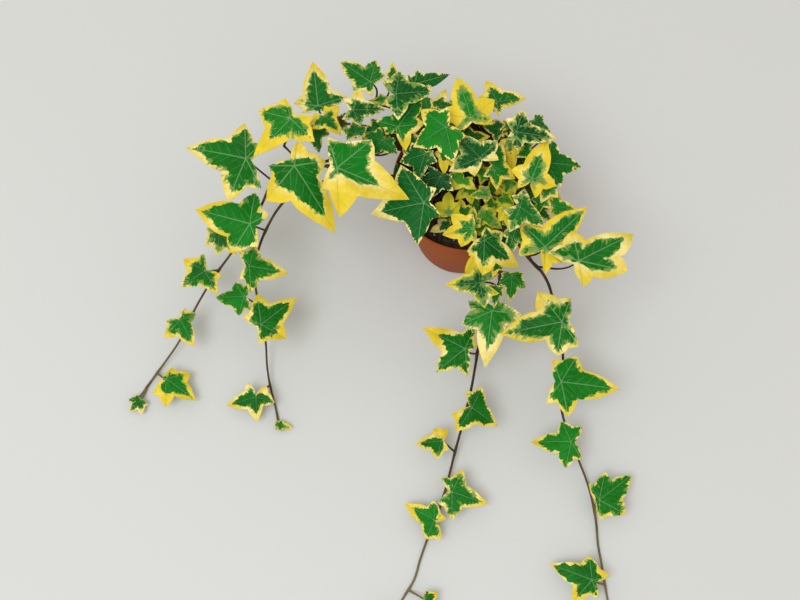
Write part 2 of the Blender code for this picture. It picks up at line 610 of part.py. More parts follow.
def turned_solid(name, profile, sides, finish):
    """A closed solid turned about the Z axis from a section whose points start at the top, outside."""
    work = bmesh.new()
    verts = [work.verts.new((radius, 0, height)) for radius, height in profile]
    edges = [work.edges.new(pair) for pair in zip(verts, verts[1:] + verts[:1])]
    bmesh.ops.spin(work, geom=verts + edges, cent=(0, 0, 0), axis=(0, 0, 1),
                   angle=math.tau, steps=sides, use_merge=True)
    bmesh.ops.remove_doubles(work, verts=work.verts, dist=1e-6)
    degenerate = [edge for edge in work.edges if not edge.link_faces]
    bmesh.ops.delete(work, geom=degenerate, context="EDGES")
    bmesh.ops.recalc_face_normals(work, faces=work.faces)
    mesh = bpy.data.meshes.new(name)
    work.to_mesh(mesh)
    work.free()
    return new_object(name, mesh, finish)


def cut(obj, cutters, name):
    """Cut these closed objects out of one, and remove them."""
    tools = bpy.data.collections.new(name)
    bpy.context.scene.collection.children.link(tools)
    for cutter in cutters:
        bpy.context.scene.collection.objects.unlink(cutter)
        tools.objects.link(cutter)
    combine(obj, tools, "DIFFERENCE")


def combine(obj, tools, operation):
    """Apply one Boolean of a collection's objects to an object, then remove the collection."""
    boolean = obj.modifiers.new(operation.title(), "BOOLEAN")
    boolean.operation = operation
    boolean.operand_type = "COLLECTION"
    boolean.collection = tools
    bpy.context.view_layer.update()
    graph = bpy.context.evaluated_depsgraph_get()
    applied = bpy.data.meshes.new_from_object(obj.evaluated_get(graph))
    obj.modifiers.clear()
    obj.data = applied
    for tool in list(tools.objects):
        bpy.data.objects.remove(tool)
    bpy.data.collections.remove(tools)


def peg(x, y, low, high, radius, sides):
    """An upright closed cylinder, to cut with."""
    work = bmesh.new()
    bmesh.ops.create_cone(work, cap_ends=True, segments=sides, radius1=radius, radius2=radius,
                          depth=high - low)
    bmesh.ops.translate(work, verts=work.verts, vec=(x, y, (low + high) / 2))
    mesh = bpy.data.meshes.new("peg")
    work.to_mesh(mesh)
    work.free()
    return new_object("peg", mesh)


def make_pot(finish):
    """The pot, with a ring of drain holes round the solid middle of its floor."""
    pot = turned_solid("pot", pot_profile(), POT_SIDES, finish)
    pegs = []
    for i in range(DRAIN_COUNT):
        turn = math.tau * i / DRAIN_COUNT
        x, y = math.cos(turn) * DRAIN_RING, math.sin(turn) * DRAIN_RING
        pegs.append(peg(x, y, -0.005, FLOOR_THICK + 0.005, DRAIN_RADIUS, 10))
    cut(pot, pegs, "drain_pegs")
    pot.data.shade_smooth()
    pot.data.set_sharp_from_angle(angle=math.radians(30))
    return pot


def make_soil(stems, finish):
    """The soil: it fills the pot to below its rim, crowned a little, with a hole for each stem."""
    taper = (RIM_RADIUS - FOOT_RADIUS) / (POT_HEIGHT - FLOOR_THICK)
    inside = FOOT_RADIUS - WALL - SOIL_GAP
    low = FLOOR_THICK + SOIL_GAP
    profile = [(0, SOIL_TOP + SOIL_CROWN), (inside * 0.7, SOIL_TOP + SOIL_CROWN * 0.8),
               (inside + taper * (SOIL_TOP - low), SOIL_TOP), (inside, low), (0, low)]
    soil = turned_solid("soil", profile, POT_SIDES, finish)
    low_end = SOIL_TOP - ROOT_DEPTH - HOLE_GAP
    cut(soil, [peg(points[0].x, points[0].y, low_end, SOIL_TOP + 0.02, STEM_RADIUS + HOLE_GAP, 6)
               for points in stems.values()], "root_pegs")
    return soil


def make_vine(name, stem, leaves, finish):
    """One leafy stem as a single solid: its stem, and the stalk and blade of each leaf."""
    stem_tube = tube(stem, STEM_RADIUS, STEM_TIP_RADIUS, STEM_SIDES)
    vine = new_object(name, solid_mesh(name, *stem_tube), finish)
    pieces = bpy.data.collections.new(name + "_leaves")
    bpy.context.scene.collection.children.link(pieces)
    for blade, points in leaves:
        end = points[-1] + blade.frame.col[2] * BLADE_THICK * 0.2
        stalk = tube(points[:-1] + [end], STALK_RADIUS, STALK_RADIUS, STALK_SIDES)
        new_object(name + "_stalk", solid_mesh("stalk", *stalk), finish, pieces)
        new_object(name + "_blade", solid_mesh("blade", *blade_solid(blade, BLADE_THICK)), finish, pieces)
    combine(vine, pieces, "UNION")
    return vine


def main():
    clear_scene()
    clay = material("clay_coloured_plastic", (0.32, 0.085, 0.035), 0.55)
    earth = material("potting_soil", (0.030, 0.020, 0.013), 0.95)
    leaf_green = material("ivy_leaf", (0.055, 0.20, 0.035), 0.45)

    stems = {name: stem_points(route) for name, (route, _) in VINES.items()}
    placed = []
    for name, points in stems.items():
        remember(placed, name, tube(points, STEM_RADIUS * 1.4, STEM_RADIUS * 1.4, 5))
    for obj in (make_pot(clay), make_soil(stems, earth)):
        places = [vertex.co for vertex in obj.data.vertices]
        remember(placed, obj.name, (places, [face.vertices for face in obj.data.polygons]))

    leaves = {name: [] for name in VINES}
    rows = [(name, row) for name, (_, listed) in VINES.items() for row in listed]
    for name, row in sorted(rows, key=lambda pair: pair[1].height):
        settled = settle(lambda lift, seen=row: listed_blade(seen, lift), name, stems[name], placed,
                         MOST_LIFTS)
        if settled:
            leaves[name].append(settled)
    for name, *settled in filling_leaves(stems, placed):
        leaves[name].append(settled)
    for name, points in stems.items():
        make_vine(name, points, leaves[name], leaf_green)


main()
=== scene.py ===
# %% [markdown]
# # A potted trailing ivy
#
# The real plant is a small-leaved ivy with cream and yellow leaf margins, in a plain growing pot. The
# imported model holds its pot, its soil and its fourteen leafy stems as simple solids. This notebook keeps
# every one of them in its place and gives it the surface of the real thing: fine blades with veins and torn
# green patches, round stems, a turned pot and crumbly soil.

# %% Load the frame
import json
import math
import random
from collections import namedtuple

import bmesh
import bpy
from mathutils import Matrix, Vector, noise
from mathutils.bvhtree import BVHTree

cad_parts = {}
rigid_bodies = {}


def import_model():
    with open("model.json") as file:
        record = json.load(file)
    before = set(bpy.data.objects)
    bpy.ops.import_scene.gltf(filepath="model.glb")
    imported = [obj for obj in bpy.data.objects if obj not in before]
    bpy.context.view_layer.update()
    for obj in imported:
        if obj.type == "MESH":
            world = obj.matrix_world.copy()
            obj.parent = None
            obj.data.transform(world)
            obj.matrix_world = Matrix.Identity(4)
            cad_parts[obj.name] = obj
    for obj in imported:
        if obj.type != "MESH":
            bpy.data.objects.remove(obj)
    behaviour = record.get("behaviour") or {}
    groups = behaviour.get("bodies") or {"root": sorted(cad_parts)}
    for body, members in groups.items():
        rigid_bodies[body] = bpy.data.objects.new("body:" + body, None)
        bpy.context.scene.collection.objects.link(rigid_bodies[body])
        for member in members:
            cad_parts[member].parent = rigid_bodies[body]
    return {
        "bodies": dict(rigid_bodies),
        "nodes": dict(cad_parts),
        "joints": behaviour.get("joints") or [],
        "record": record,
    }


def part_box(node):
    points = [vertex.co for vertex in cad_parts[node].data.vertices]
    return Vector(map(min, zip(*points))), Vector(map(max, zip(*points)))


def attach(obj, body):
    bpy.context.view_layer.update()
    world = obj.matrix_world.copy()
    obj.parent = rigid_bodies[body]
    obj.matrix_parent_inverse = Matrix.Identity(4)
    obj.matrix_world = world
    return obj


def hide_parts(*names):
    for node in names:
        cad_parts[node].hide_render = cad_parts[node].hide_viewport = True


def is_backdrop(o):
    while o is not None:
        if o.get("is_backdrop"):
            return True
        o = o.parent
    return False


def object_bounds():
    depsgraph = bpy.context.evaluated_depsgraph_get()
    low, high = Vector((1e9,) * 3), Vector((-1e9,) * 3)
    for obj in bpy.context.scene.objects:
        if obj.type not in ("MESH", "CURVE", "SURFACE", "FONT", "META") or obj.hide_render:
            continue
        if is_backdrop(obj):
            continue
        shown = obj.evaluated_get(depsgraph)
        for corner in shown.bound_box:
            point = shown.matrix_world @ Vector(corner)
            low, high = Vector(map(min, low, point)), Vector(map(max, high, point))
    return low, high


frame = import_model()
cad_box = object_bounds()
print("nodes in the frame:", ", ".join(sorted(frame["nodes"])))

# %% [markdown]
# ## The camera
#
# The plant is looked at steeply from above and in front. The same viewpoint also lays out the plant: each
# leaf's place is written as where it is seen from there, with its height. So the camera's values come
# first, and both jobs share them.

# %% Camera
EYE = Vector((-0.054, -0.373, 0.897))
LOOK_DOWN = math.radians(71)
LENS = 1087
VIEW_CENTRE = (400, 300)
SENSOR_WIDTH = 36
NEAR_CLIP = 0.01
LOOK = Vector((0, math.cos(LOOK_DOWN), -math.sin(LOOK_DOWN)))
VIEW_UP = Vector((0, math.sin(LOOK_DOWN), math.cos(LOOK_DOWN)))

camera_lens = bpy.data.cameras.new("camera")
camera_lens.sensor_width = SENSOR_WIDTH
camera_lens.lens = LENS / (2 * VIEW_CENTRE[0]) * SENSOR_WIDTH
camera_lens.clip_start = NEAR_CLIP
camera = bpy.data.objects.new("camera", camera_lens)
camera.location = EYE
camera.rotation_euler = (math.pi / 2 - LOOK_DOWN, 0, 0)
bpy.context.scene.collection.objects.link(camera)
bpy.context.scene.camera = camera
print(f"camera: {camera_lens.lens:.1f} mm lens, {math.degrees(LOOK_DOWN):.0f} degrees down")

# %% [markdown]
# ## The floor
#
# The plant stands on a pale, matt surface. A backdrop with a curve behind it would do as well, but seen
# this steeply only the floor shows, so one large square is enough. It lies a hair below the plant,
# because two faces in one plane would flicker.

# %% Floor
FLOOR_HALF = 3.0
FLOOR_DROP = 0.0002
FLOOR_COLOUR = (0.62, 0.62, 0.60)
FLOOR_ROUGHNESS = 0.7


def plain_material(name, colour, roughness):
    """A plain matt material."""
    made = bpy.data.materials.new(name)
    made.use_nodes = True
    shader = made.node_tree.nodes["Principled BSDF"]
    shader.inputs["Base Color"].default_value = (*colour, 1)
    shader.inputs["Roughness"].default_value = roughness
    return made


sheet = bmesh.new()
bmesh.ops.create_grid(sheet, x_segments=1, y_segments=1, size=FLOOR_HALF)
floor_mesh = bpy.data.meshes.new("floor")
sheet.to_mesh(floor_mesh)
sheet.free()
floor_mesh.transform(Matrix.Translation((0, 0, -FLOOR_DROP)))
floor_mesh.materials.append(plain_material("floor", FLOOR_COLOUR, FLOOR_ROUGHNESS))
floor = bpy.data.objects.new("floor", floor_mesh)
bpy.context.scene.collection.objects.link(floor)
floor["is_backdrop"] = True
print("floor laid:", floor.name)

# %% [markdown]
# ## The light
#
# The light is soft and even. It could come from a picture of a sky all around, but then nothing in it
# could be set. So a large and slightly cool softbox hangs in front, a little to the left, and its soft
# shadows fall to the back and to the right. A pale, slightly warm sky fills them. The Standard view keeps
# the yellows as strong as they are.

# %% Light
SKY_COLOUR = (1.0, 0.965, 0.905)
SKY_STRENGTH = 0.79
KEY_PLACE = Vector((-0.75, -0.9, 2.2))
KEY_SIZE = 1.2
KEY_COLOUR = (0.92, 1.0, 1.08)
KEY_POWER = 26

sky = bpy.data.worlds.new("sky")
sky.use_nodes = True
sky.node_tree.nodes["Background"].inputs["Color"].default_value = (*SKY_COLOUR, 1)
sky.node_tree.nodes["Background"].inputs["Strength"].default_value = SKY_STRENGTH
bpy.context.scene.world = sky
softbox = bpy.data.lights.new("softbox", "AREA")
softbox.size = KEY_SIZE
softbox.energy = KEY_POWER
softbox.color = KEY_COLOUR
key = bpy.data.objects.new("softbox", softbox)
key.location = KEY_PLACE
key.rotation_euler = (-KEY_PLACE).to_track_quat("-Z", "Y").to_euler()
bpy.context.scene.collection.objects.link(key)
bpy.context.scene.view_settings.view_transform = "Standard"
print(f"softbox placed {KEY_PLACE.z:.1f} m above the floor")

# %% [markdown]
# ## Where the stems and leaves are
#
# Every real leaf has a place of its own. A rule could scatter leaves along the stems, but the plant would
# then be any ivy and not this one. So a vine is a route for its stem and a row for each leaf.
#
# A place is (across, down) in an 800 x 600 view from the camera, and a height in millimetres. Each row
# gives where the leaf's stalk meets it, its main lobe's tip and its side lobes' tips. Then come the
# height of its foot, how far its tip lies above that, and its roll.

# %% The vines
MM = 0.001
Leaf = namedtuple("Leaf", "name foot tip sides height drop roll")


def leaf(name, foot, tip, sides, height, drop=-8, roll=0):
    """One leaf of a vine, with its lengths in metres and its roll in radians."""
    return Leaf(name, foot, tip, sides, height * MM, drop * MM, math.radians(roll))


# Each vine: the route of its stem, from the soil outwards, and its leaves
VINES = {
    "trail_left_long": (
        [(434, 172, 97), (418, 158, 122), (400, 149, 127), (380, 147, 131), (345, 156, 139), (305, 168, 133),
         (274, 182, 118), (261, 206, 99), (246, 232, 78), (230, 255, 60), (219, 270, 49), (207, 288, 37),
         (194, 311, 23), (180, 340, 12), (168, 358, 7), (157, 373, 2.4), (147, 387, 1.6), (139, 398, 1.6)],
        [leaf("a1", (246, 159), (188, 149), [(242, 116), (226, 198), (260, 143), (260, 185)], 134, -20),
         leaf("d35", (401, 138), (388, 146), [(389, 134), (403, 151)], 117, -4),
         leaf("a3", (219, 230), (218, 255), [(206, 247), (229, 258)], 72, -10),
         leaf("a4", (205, 271), (181, 287), [(181, 257), (216, 293), (203, 253), (221, 274)], 56, -10),
         leaf("a5", (180, 320), (194, 346), [(164, 337), (196, 313), (165, 321), (185, 308)], 32, -8),
         leaf("a6", (166, 379), (195, 400), [(190, 372), (165, 405), (152, 393), (172, 366)], 15, -6),
         leaf("a7", (140, 400), (129, 412), [(128, 399), (142, 414)], 7, -2)]),
    "trail_left_short": (
        [(443, 193, 97), (425, 180, 122), (390, 176, 136), (345, 178, 143), (308, 186, 138), (289, 197, 127),
         (278, 209, 115), (270, 222, 103), (262, 239, 88), (257, 255, 74), (254, 272, 60), (256, 290, 47),
         (259, 306, 37), (263, 325, 26), (266, 345, 17), (267, 365, 10), (270, 385, 6), (275, 405, 2.4),
         (278, 420, 1.6)],
        [leaf("a2", (250, 224), (196, 210), [(253, 190), (231, 252), (268, 214), (257, 245)], 106, -20),
         leaf("b1", (249, 266), (288, 274), [(255, 245), (251, 292), (239, 250), (240, 278)], 80, -14),
         leaf("b2", (244, 297), (216, 298), [(234, 281), (238, 315), (248, 285), (250, 309)], 52, -9),
         leaf("b3", (261, 325), (297, 298), [(257, 293), (286, 337), (243, 317), (259, 343)], 44, -9),
         leaf("b4", (256, 397), (257, 421), [(225, 405), (274, 402), (250, 381), (266, 385)], 15, -5),
         leaf("b5", (277, 425), (293, 428), [(283, 420), (282, 431)], 5, -1)]),
    "spray_left": (
        [(447, 180, 97), (432, 162, 120), (400, 146, 135), (376, 147, 140), (347, 158, 150), (325, 166, 150),
         (298, 158, 144), (284, 146, 138)],
        [leaf("c9", (294, 166), (335, 232), [(267, 198), (326, 160), (269, 165), (299, 139)], 158, -24),
         leaf("d14", (383, 140), (368, 155), [(362, 134), (397, 152)], 147, -10),
         leaf("c8", (337, 168), (410, 198), [(373, 138), (341, 216), (328, 137), (322, 187)], 168, -24),
         leaf("c1", (291, 119), (255, 158), [(257, 109), (314, 141), (284, 97), (312, 115)], 156, -18)]),
    "spray_left_back": (
        [(441, 163, 97), (425, 143, 120), (395, 130, 133), (362, 126, 138), (335, 122, 135), (316, 120, 128)],
        [leaf("c2", (318, 106), (313, 62), [(347, 94), (294, 103), (339, 110), (302, 112)], 142, -14),
         leaf("c3", (326, 117), (341, 135), [(340, 105), (306, 122)], 150, -9),
         leaf("c6", (353, 110), (386, 109), [(359, 88), (361, 125), (344, 98), (342, 119)], 152, -10),
         leaf("c13", (356, 135), (353, 121), [(341, 128), (367, 126)], 149, -5),
         leaf("c12", (313, 127), (319, 153), [(302, 135), (330, 134)], 128, -8),
         leaf("c7", (338, 118), (331, 132), [(344, 108), (346, 130)], 130, -9)]),
    "spray_back_left": (
        [(456, 160, 97), (440, 135, 120), (415, 117, 132), (392, 108, 136), (374, 103, 133)],
        [leaf("c4", (370, 82), (340, 62), [(376, 58), (353, 90), (386, 76), (372, 95)], 148, -9),
         leaf("c5", (396, 94), (433, 91), [(400, 69), (397, 118)], 158, -9),
         leaf("d1", (398, 127), (421, 97), [(376, 119), (425, 121), (406, 149)], 142, -12),
         leaf("d2", (414, 84), (450, 75), [(417, 75), (430, 97)], 150, -21, 34),
         leaf("c11", (393, 79), (393, 63), [(387, 70), (399, 70)], 148, -4),
         leaf("c10", (384, 101), (368, 101), [(380, 93), (378, 107)], 139, -6),
         leaf("d34", (383, 129), (361, 131), [(371, 117), (368, 143)], 141, -5)]),
    "spray_back": (
        [(472, 166, 97), (466, 143, 118), (459, 125, 130), (452, 112, 134)],
        [leaf("d4", (438, 107), (446, 89), [(454, 103), (430, 99)], 138, -6),
         leaf("d5", (471, 118), (457, 79), [(496, 96), (438, 112)], 152, -6),
         leaf("d6", (446, 127), (414, 147), [(420, 108), (452, 160)], 160, -15),
         leaf("d3", (497, 102), (526, 98), [(487, 77), (495, 114)], 138, -9),
         leaf("d33", (425, 130), (411, 129), [(419, 119), (416, 139)], 126, -4)]),
    "spray_back_right": (
        [(489, 167, 97), (500, 150, 118), (518, 140, 128), (537, 138, 129), (549, 145, 124)],
        [leaf("d15", (516, 132), (557, 139), [(524, 109), (518, 150)], 150, -12),
         leaf("d16", (535, 121), (551, 133), [(544, 115), (527, 126)], 138, -9),
         leaf("d17", (529, 150), (515, 157), [(524, 140), (533, 164)], 141, -8),
         leaf("d20", (546, 163), (581, 167), [(554, 139), (562, 186)], 134, -12)]),
    "spray_right": (
        [(497, 187, 97), (512, 180, 116), (527, 186, 124), (539, 196, 122), (549, 205, 116)],
        [leaf("d19", (532, 178), (547, 140), [(512, 169), (557, 185), (518, 188), (536, 197)], 149, -9),
         leaf("d22", (520, 207), (546, 227), [(523, 186), (511, 231)], 142, -12),
         leaf("d30", (549, 187), (541, 203), [(535, 188), (558, 197)], 127, -6),
         leaf("d31", (537, 206), (551, 222), [(551, 208), (533, 220)], 120, -5),
         leaf("d23", (541, 198), (538, 214), [(531, 199), (551, 209)], 124, -9),
         leaf("d24", (554, 206), (578, 210), [(558, 190), (560, 220)], 126, -9)]),
    "trail_right": (
        [(493, 207, 97), (500, 217, 112), (511, 234, 119), (523, 250, 115), (533, 263, 106), (541, 271, 98),
         (548, 283, 88), (552, 296, 78), (557, 320, 62), (562, 345, 46), (563, 365, 36), (561, 388, 27),
         (562, 412, 19), (569, 435, 13), (579, 461, 8), (587, 482, 5), (592, 500, 2.4), (596, 522, 1.6),
         (598, 545, 1.6), (602, 566, 1.6), (605, 585, 1.6), (608, 602, 1.6), (612, 625, 1.6),
         (613, 642, 1.6)],
        [leaf("f17", (504, 208), (512, 231), [(516, 213), (499, 221)], 124, -6),
         leaf("d25", (545, 247), (587, 208), [(521, 220), (563, 262), (520, 256), (546, 273)], 130, -12),
         leaf("d26", (579, 261), (633, 234), [(572, 230), (629, 270), (549, 252), (584, 286)], 136, -20),
         leaf("g1", (562, 322), (502, 334), [(538, 290), (557, 355), (571, 297), (579, 345)], 82, -16),
         leaf("g2", (561, 382), (618, 390), [(578, 354), (569, 416), (553, 359), (547, 402)], 52, -12),
         leaf("g3", (571, 442), (532, 442), [(562, 420), (566, 467), (583, 426), (582, 459)], 31, -8),
         leaf("g4", (599, 500), (632, 475), [(607, 472), (626, 514), (589, 484), (600, 519)], 18, -5),
         leaf("g5", (592, 580), (550, 564), [(590, 555), (573, 602), (611, 576), (599, 598)], 16, -5),
         leaf("g6", (607, 622), (581, 640), [(590, 612), (606, 648)], 12, -4),
         leaf("g7", (612, 645), (626, 662), [(630, 648), (610, 666)], 9, -3)]),
    "spray_front_left": (
        [(447, 207, 97), (437, 200, 111), (427, 193, 117), (420, 184, 121)],
        [leaf("d8", (424, 203), (371, 214), [(416, 244), (400, 164), (440, 214), (436, 188)], 124, -18),
         leaf("d36", (403, 187), (396, 163), [(390, 173), (410, 171)], 115, -4),
         leaf("d29", (413, 136), (404, 157), [(397, 138), (421, 151)], 133, -8),
         leaf("d9", (441, 176), (428, 200), [(453, 191), (416, 182)], 132, -12),
         leaf("d7", (425, 154), (417, 181), [(398, 162), (437, 162)], 146, -15),
         leaf("d10", (444, 153), (444, 175), [(455, 166), (434, 153)], 143, -12)]),
    "spray_middle": (
        [(481, 181, 97), (486, 168, 116), (490, 158, 126), (491, 150, 131)],
        [leaf("d12", (493, 166), (515, 179), [(503, 140), (498, 189)], 141, -9),
         leaf("d13", (509, 141), (513, 173), [(500, 152), (522, 151)], 134, -12),
         leaf("d11", (480, 158), (456, 134), [(498, 138), (449, 168)], 153, -9),
         leaf("d27", (499, 130), (483, 127), [(495, 117), (497, 142)], 126, -6),
         leaf("d28", (510, 131), (503, 120), [(500, 133), (518, 124)], 124, -4),
         leaf("d18", (470, 137), (490, 137), [(462, 124), (472, 150)], 128, -6)]),
    "trail_front": (
        [(481, 222, 97), (486, 231, 112), (492, 246, 116), (497, 262, 107), (500, 280, 93), (498, 298, 78),
         (490, 322, 60), (479, 346, 44), (476, 362, 35), (472, 385, 26), (467, 408, 18), (461, 430, 12),
         (455, 452, 8), (450, 472, 5), (444, 495, 2.4), (436, 518, 1.6), (427, 540, 1.6), (420, 560, 1.6),
         (414, 580, 1.6), (402, 600, 1.6), (392, 620, 1.6), (388, 642, 1.6)],
        [leaf("e2", (516, 228), (507, 256), [(502, 236), (525, 242)], 117, -21, -12),
         leaf("e1", (484, 240), (520, 267), [(484, 275), (503, 232)], 124, -18),
         leaf("e7", (478, 250), (465, 279), [(470, 255), (480, 268)], 103, -21),
         leaf("e5", (512, 275), (510, 301), [(526, 288), (499, 284)], 98, -12),
         leaf("e4", (480, 283), (446, 285), [(478, 264), (489, 306), (501, 278), (500, 291)], 104, -10),
         leaf("e3", (497, 263), (493, 277), [(488, 268), (503, 270)], 110, -8),
         leaf("e6", (497, 287), (494, 308), [(488, 297), (503, 296)], 94, -8),
         leaf("e8", (492, 311), (485, 367), [(461, 324), (522, 314), (468, 299), (505, 300)], 80, -16),
         leaf("e9", (465, 349), (424, 329), [(436, 370), (475, 326), (477, 345), (468, 375)], 62, -12),
         leaf("e10", (472, 408), (498, 426), [(457, 431), (483, 386), (451, 415), (466, 391)], 34, -8),
         leaf("e11", (441, 441), (415, 444), [(437, 459), (435, 427), (449, 429), (449, 449)], 21, -6),
         leaf("e12", (452, 492), (488, 504), [(463, 469), (452, 520), (441, 477), (438, 503)], 18, -5),
         leaf("e13", (434, 520), (405, 504), [(426, 539), (434, 500), (442, 540), (446, 519)], 14, -5),
         leaf("e14", (425, 600), (441, 612), [(438, 592), (420, 614)], 11, -3),
         leaf("e15", (390, 622), (366, 626), [(375, 608), (380, 640)], 12, -4),
         leaf("e16", (388, 645), (395, 664), [(377, 656), (405, 654)], 9, -3)]),
    "spray_front": (
        [(461, 212, 97), (459, 209, 106), (456, 207, 111)],
        [leaf("f4", (449, 226), (430, 232), [(438, 218), (446, 235)], 108, -5),
         leaf("f1", (449, 214), (449, 191), [(435, 203), (456, 199)], 124, -5),
         leaf("f3", (461, 216), (461, 198), [(450, 206), (470, 203)], 122, -5),
         leaf("f5", (473, 226), (474, 206), [(466, 214), (478, 216)], 115, -5),
         leaf("f2", (472, 229), (443, 235), [(461, 246), (451, 213)], 125, -6)]),
    "spray_middle_front": (
        [(472, 197, 97), (476, 192, 108), (481, 189, 115)],
        [leaf("f13", (477, 229), (499, 225), [(484, 219), (488, 234)], 107, -4),
         leaf("f12", (481, 214), (502, 229), [(497, 210), (481, 226)], 114, -6),
         leaf("f10", (511, 181), (502, 199), [(499, 184), (513, 196)], 117, -6),
         leaf("f14", (484, 174), (470, 169), [(478, 163), (480, 185)], 124, -5),
         leaf("f15", (503, 197), (515, 206), [(512, 192), (501, 211)], 119, -5),
         leaf("f16", (478, 205), (465, 209), [(471, 196), (477, 216)], 113, -4),
         leaf("f6", (463, 179), (451, 190), [(448, 173), (478, 185)], 131, -6),
         leaf("f8", (488, 193), (468, 197), [(479, 185), (486, 203)], 124, -5),
         leaf("f7", (470, 186), (455, 200), [(455, 185), (472, 204)], 117, -5),
         leaf("f9", (490, 187), (505, 192), [(500, 180), (497, 199)], 116, -4),
         leaf("f11", (494, 203), (485, 214), [(483, 200), (501, 214)], 118, -6)]),
}

print(len(VINES), "vines with", sum(len(rows) for _, rows in VINES.values()), "listed leaves")

# %% [markdown]
# ## From the view to space
#
# A place in the view and a height make a point: follow the sight line through that place until it comes
# down to the height. A side lobe's tip lies on its blade's plane instead, so its sight line is cut by that
# plane.

# %% Sight lines
def sight_line(across, down):
    """The direction from the viewpoint through this place in the view."""
    right = (across - VIEW_CENTRE[0]) / LENS
    up = (VIEW_CENTRE[1] - down) / LENS
    return LOOK + Vector((right, 0, 0)) + VIEW_UP * up


def seen_at(across, down, height):
    """The point at this height that is seen at this place in the view."""
    line = sight_line(across, down)
    return EYE + line * ((height - EYE.z) / line.z)


def seen_on_plane(place, point, normal):
    """The point of a plane that is seen at this place in the view."""
    line = sight_line(*place)
    return EYE + line * ((point - EYE).dot(normal) / line.dot(normal))


print("centre of the view on the floor:", [round(x, 3) for x in seen_at(*VIEW_CENTRE, 0)])

# %% [markdown]
# ## The stems' routes
#
# A stem rises straight out of its hole in the soil and then bends smoothly along its route. A Bezier
# curve would need handles at each point. A Catmull-Rom curve goes through all of its points without any,
# so the list above says exactly where the stem passes.

# %% Stem routes
SOIL_TOP = 0.097
SOIL_CROWN = 0.003
ROOT_DEPTH = 0.016
ROOT_RISE = 0.005
STEM_STEP = 0.014
STEM_RADIUS = 0.0013
STEM_TIP_RADIUS = 0.0008


def smooth_route(points, step):
    """Points about a step apart on a smooth curve through these points."""
    ends = [2 * points[0] - points[1], *points, 2 * points[-1] - points[-2]]
    route = []
    for before, start, end, after in zip(ends, ends[1:], ends[2:], ends[3:]):
        count = max(1, round((end - start).length / step))
        for i in range(count):
            t = i / count
            route.append(0.5 * (2 * start + (end - before) * t
                                + (2 * before - 5 * start + 4 * end - after) * t ** 2
                                + (3 * start - 3 * end + after - before) * t ** 3))
    return route + [points[-1]]


def stem_points(route, step):
    """A vine's stem: straight up out of its hole in the soil, then along its route."""
    points = [seen_at(across, down, height * MM) for across, down, height in route]
    root = points[0]
    buried = Vector((root.x, root.y, SOIL_TOP - ROOT_DEPTH))
    risen = Vector((root.x, root.y, SOIL_TOP + SOIL_CROWN + ROOT_RISE))
    return [buried] + smooth_route([risen] + points[1:], step)


stems = {name: stem_points(route, STEM_STEP) for name, (route, _) in VINES.items()}
longest = max(sum((b - a).length for a, b in zip(points, points[1:])) for points in stems.values())
print(f"longest stem: {longest:.3f} m")

# %% [markdown]
# ## The form of a blade
#
# An ivy blade has a main lobe, two side lobes and two small base lobes, which all point away from the
# place where the stalk meets it. One drawn outline could be scaled for every leaf, but on a real ivy no
# two have the same lobes.
#
# So a blade has its own axes, which start there: along the main rib, to its left, and out of its upper
# face. A lobe is then no more than a turn from the main rib and a reach.

# %% Blade axes
def turned(angle, reach):
    """A point of the blade's plane: along the main rib, then to its left."""
    return Vector((math.cos(angle) * reach, math.sin(angle) * reach))


def blade_frame(foot, tip, roll):
    """The blade's axes as columns: along the main rib, to the left, and out of its upper face."""
    along = (tip - foot).normalized()
    out = (Vector((0, 0, 1)) - along * along.z).normalized()
    out.rotate(Matrix.Rotation(roll, 3, along))
    return Matrix((along, out.cross(along), out)).transposed()


facing = blade_frame(Vector((0, 0, 0)), Vector((0, 1, 0)), 0).col[2]
print("a level blade faces", [round(x) for x in facing])

# %% [markdown]
# The tips that the view gives are laid onto the blade's plane, and from there each lobe's turn and reach
# are read. A lobe that isn't given gets the usual ones. What the view can't tell is drawn from the leaf's
# own name, so that it is the same at each run: the depth of its bays, how full its lobes are, its sag and
# its wave.

# %% Lobes
SIDE_TURN = math.radians(64)
SIDE_TURNS = (math.radians(38), math.radians(100))
SIDE_REACH = 0.70
BASE_TURN = math.radians(54)
MOST_BASE_TURN = math.radians(152)
BASE_REACH = 0.62
MOST_REACH = 1.35
LEAST_SIDE_REACH = 0.32
LEAST_BASE_REACH = 0.20
SINUS_DEPTH = (0.64, 0.80)
BASE_SINUS_DEPTH = (0.74, 0.95)
SHOULDER_FULL = (0.06, 0.19)
SWAY = math.radians(9)
SAG = (0.10, 0.24)
WAVE = (0.025, 0.06)
TRIAL_LENGTH = 0.04
Blade = namedtuple("Blade", "name foot frame lobes depths full length sag wave phase")


def lobes_of(foot, frame, length, places):
    """Each lobe's turn from the main rib and its reach, from the right base lobe round to the left one."""
    found = {-1: [], 1: []}
    for place in places:
        flat = frame.transposed() @ (seen_on_plane(place, foot, frame.col[2]) - foot)
        turn = math.atan2(flat.y, flat.x)
        found[1 if turn > 0 else -1].append((abs(turn), min(flat.xy.length, MOST_REACH * length)))
    lobes = {}
    for side, seen in found.items():
        seen.sort()
        turn, reach = seen[0] if seen else (SIDE_TURN, SIDE_REACH * length)
        turn = min(max(turn, SIDE_TURNS[0]), SIDE_TURNS[1])
        base_turn, base_reach = seen[1] if len(seen) > 1 else (turn + BASE_TURN, reach * BASE_REACH)
        lobes[side] = (turn * side, max(reach, LEAST_SIDE_REACH * length))
        lobes[2 * side] = (min(base_turn, MOST_BASE_TURN) * side, max(base_reach, LEAST_BASE_REACH * length))
    return [lobes[-2], lobes[-1], (0, length), lobes[1], lobes[2]]


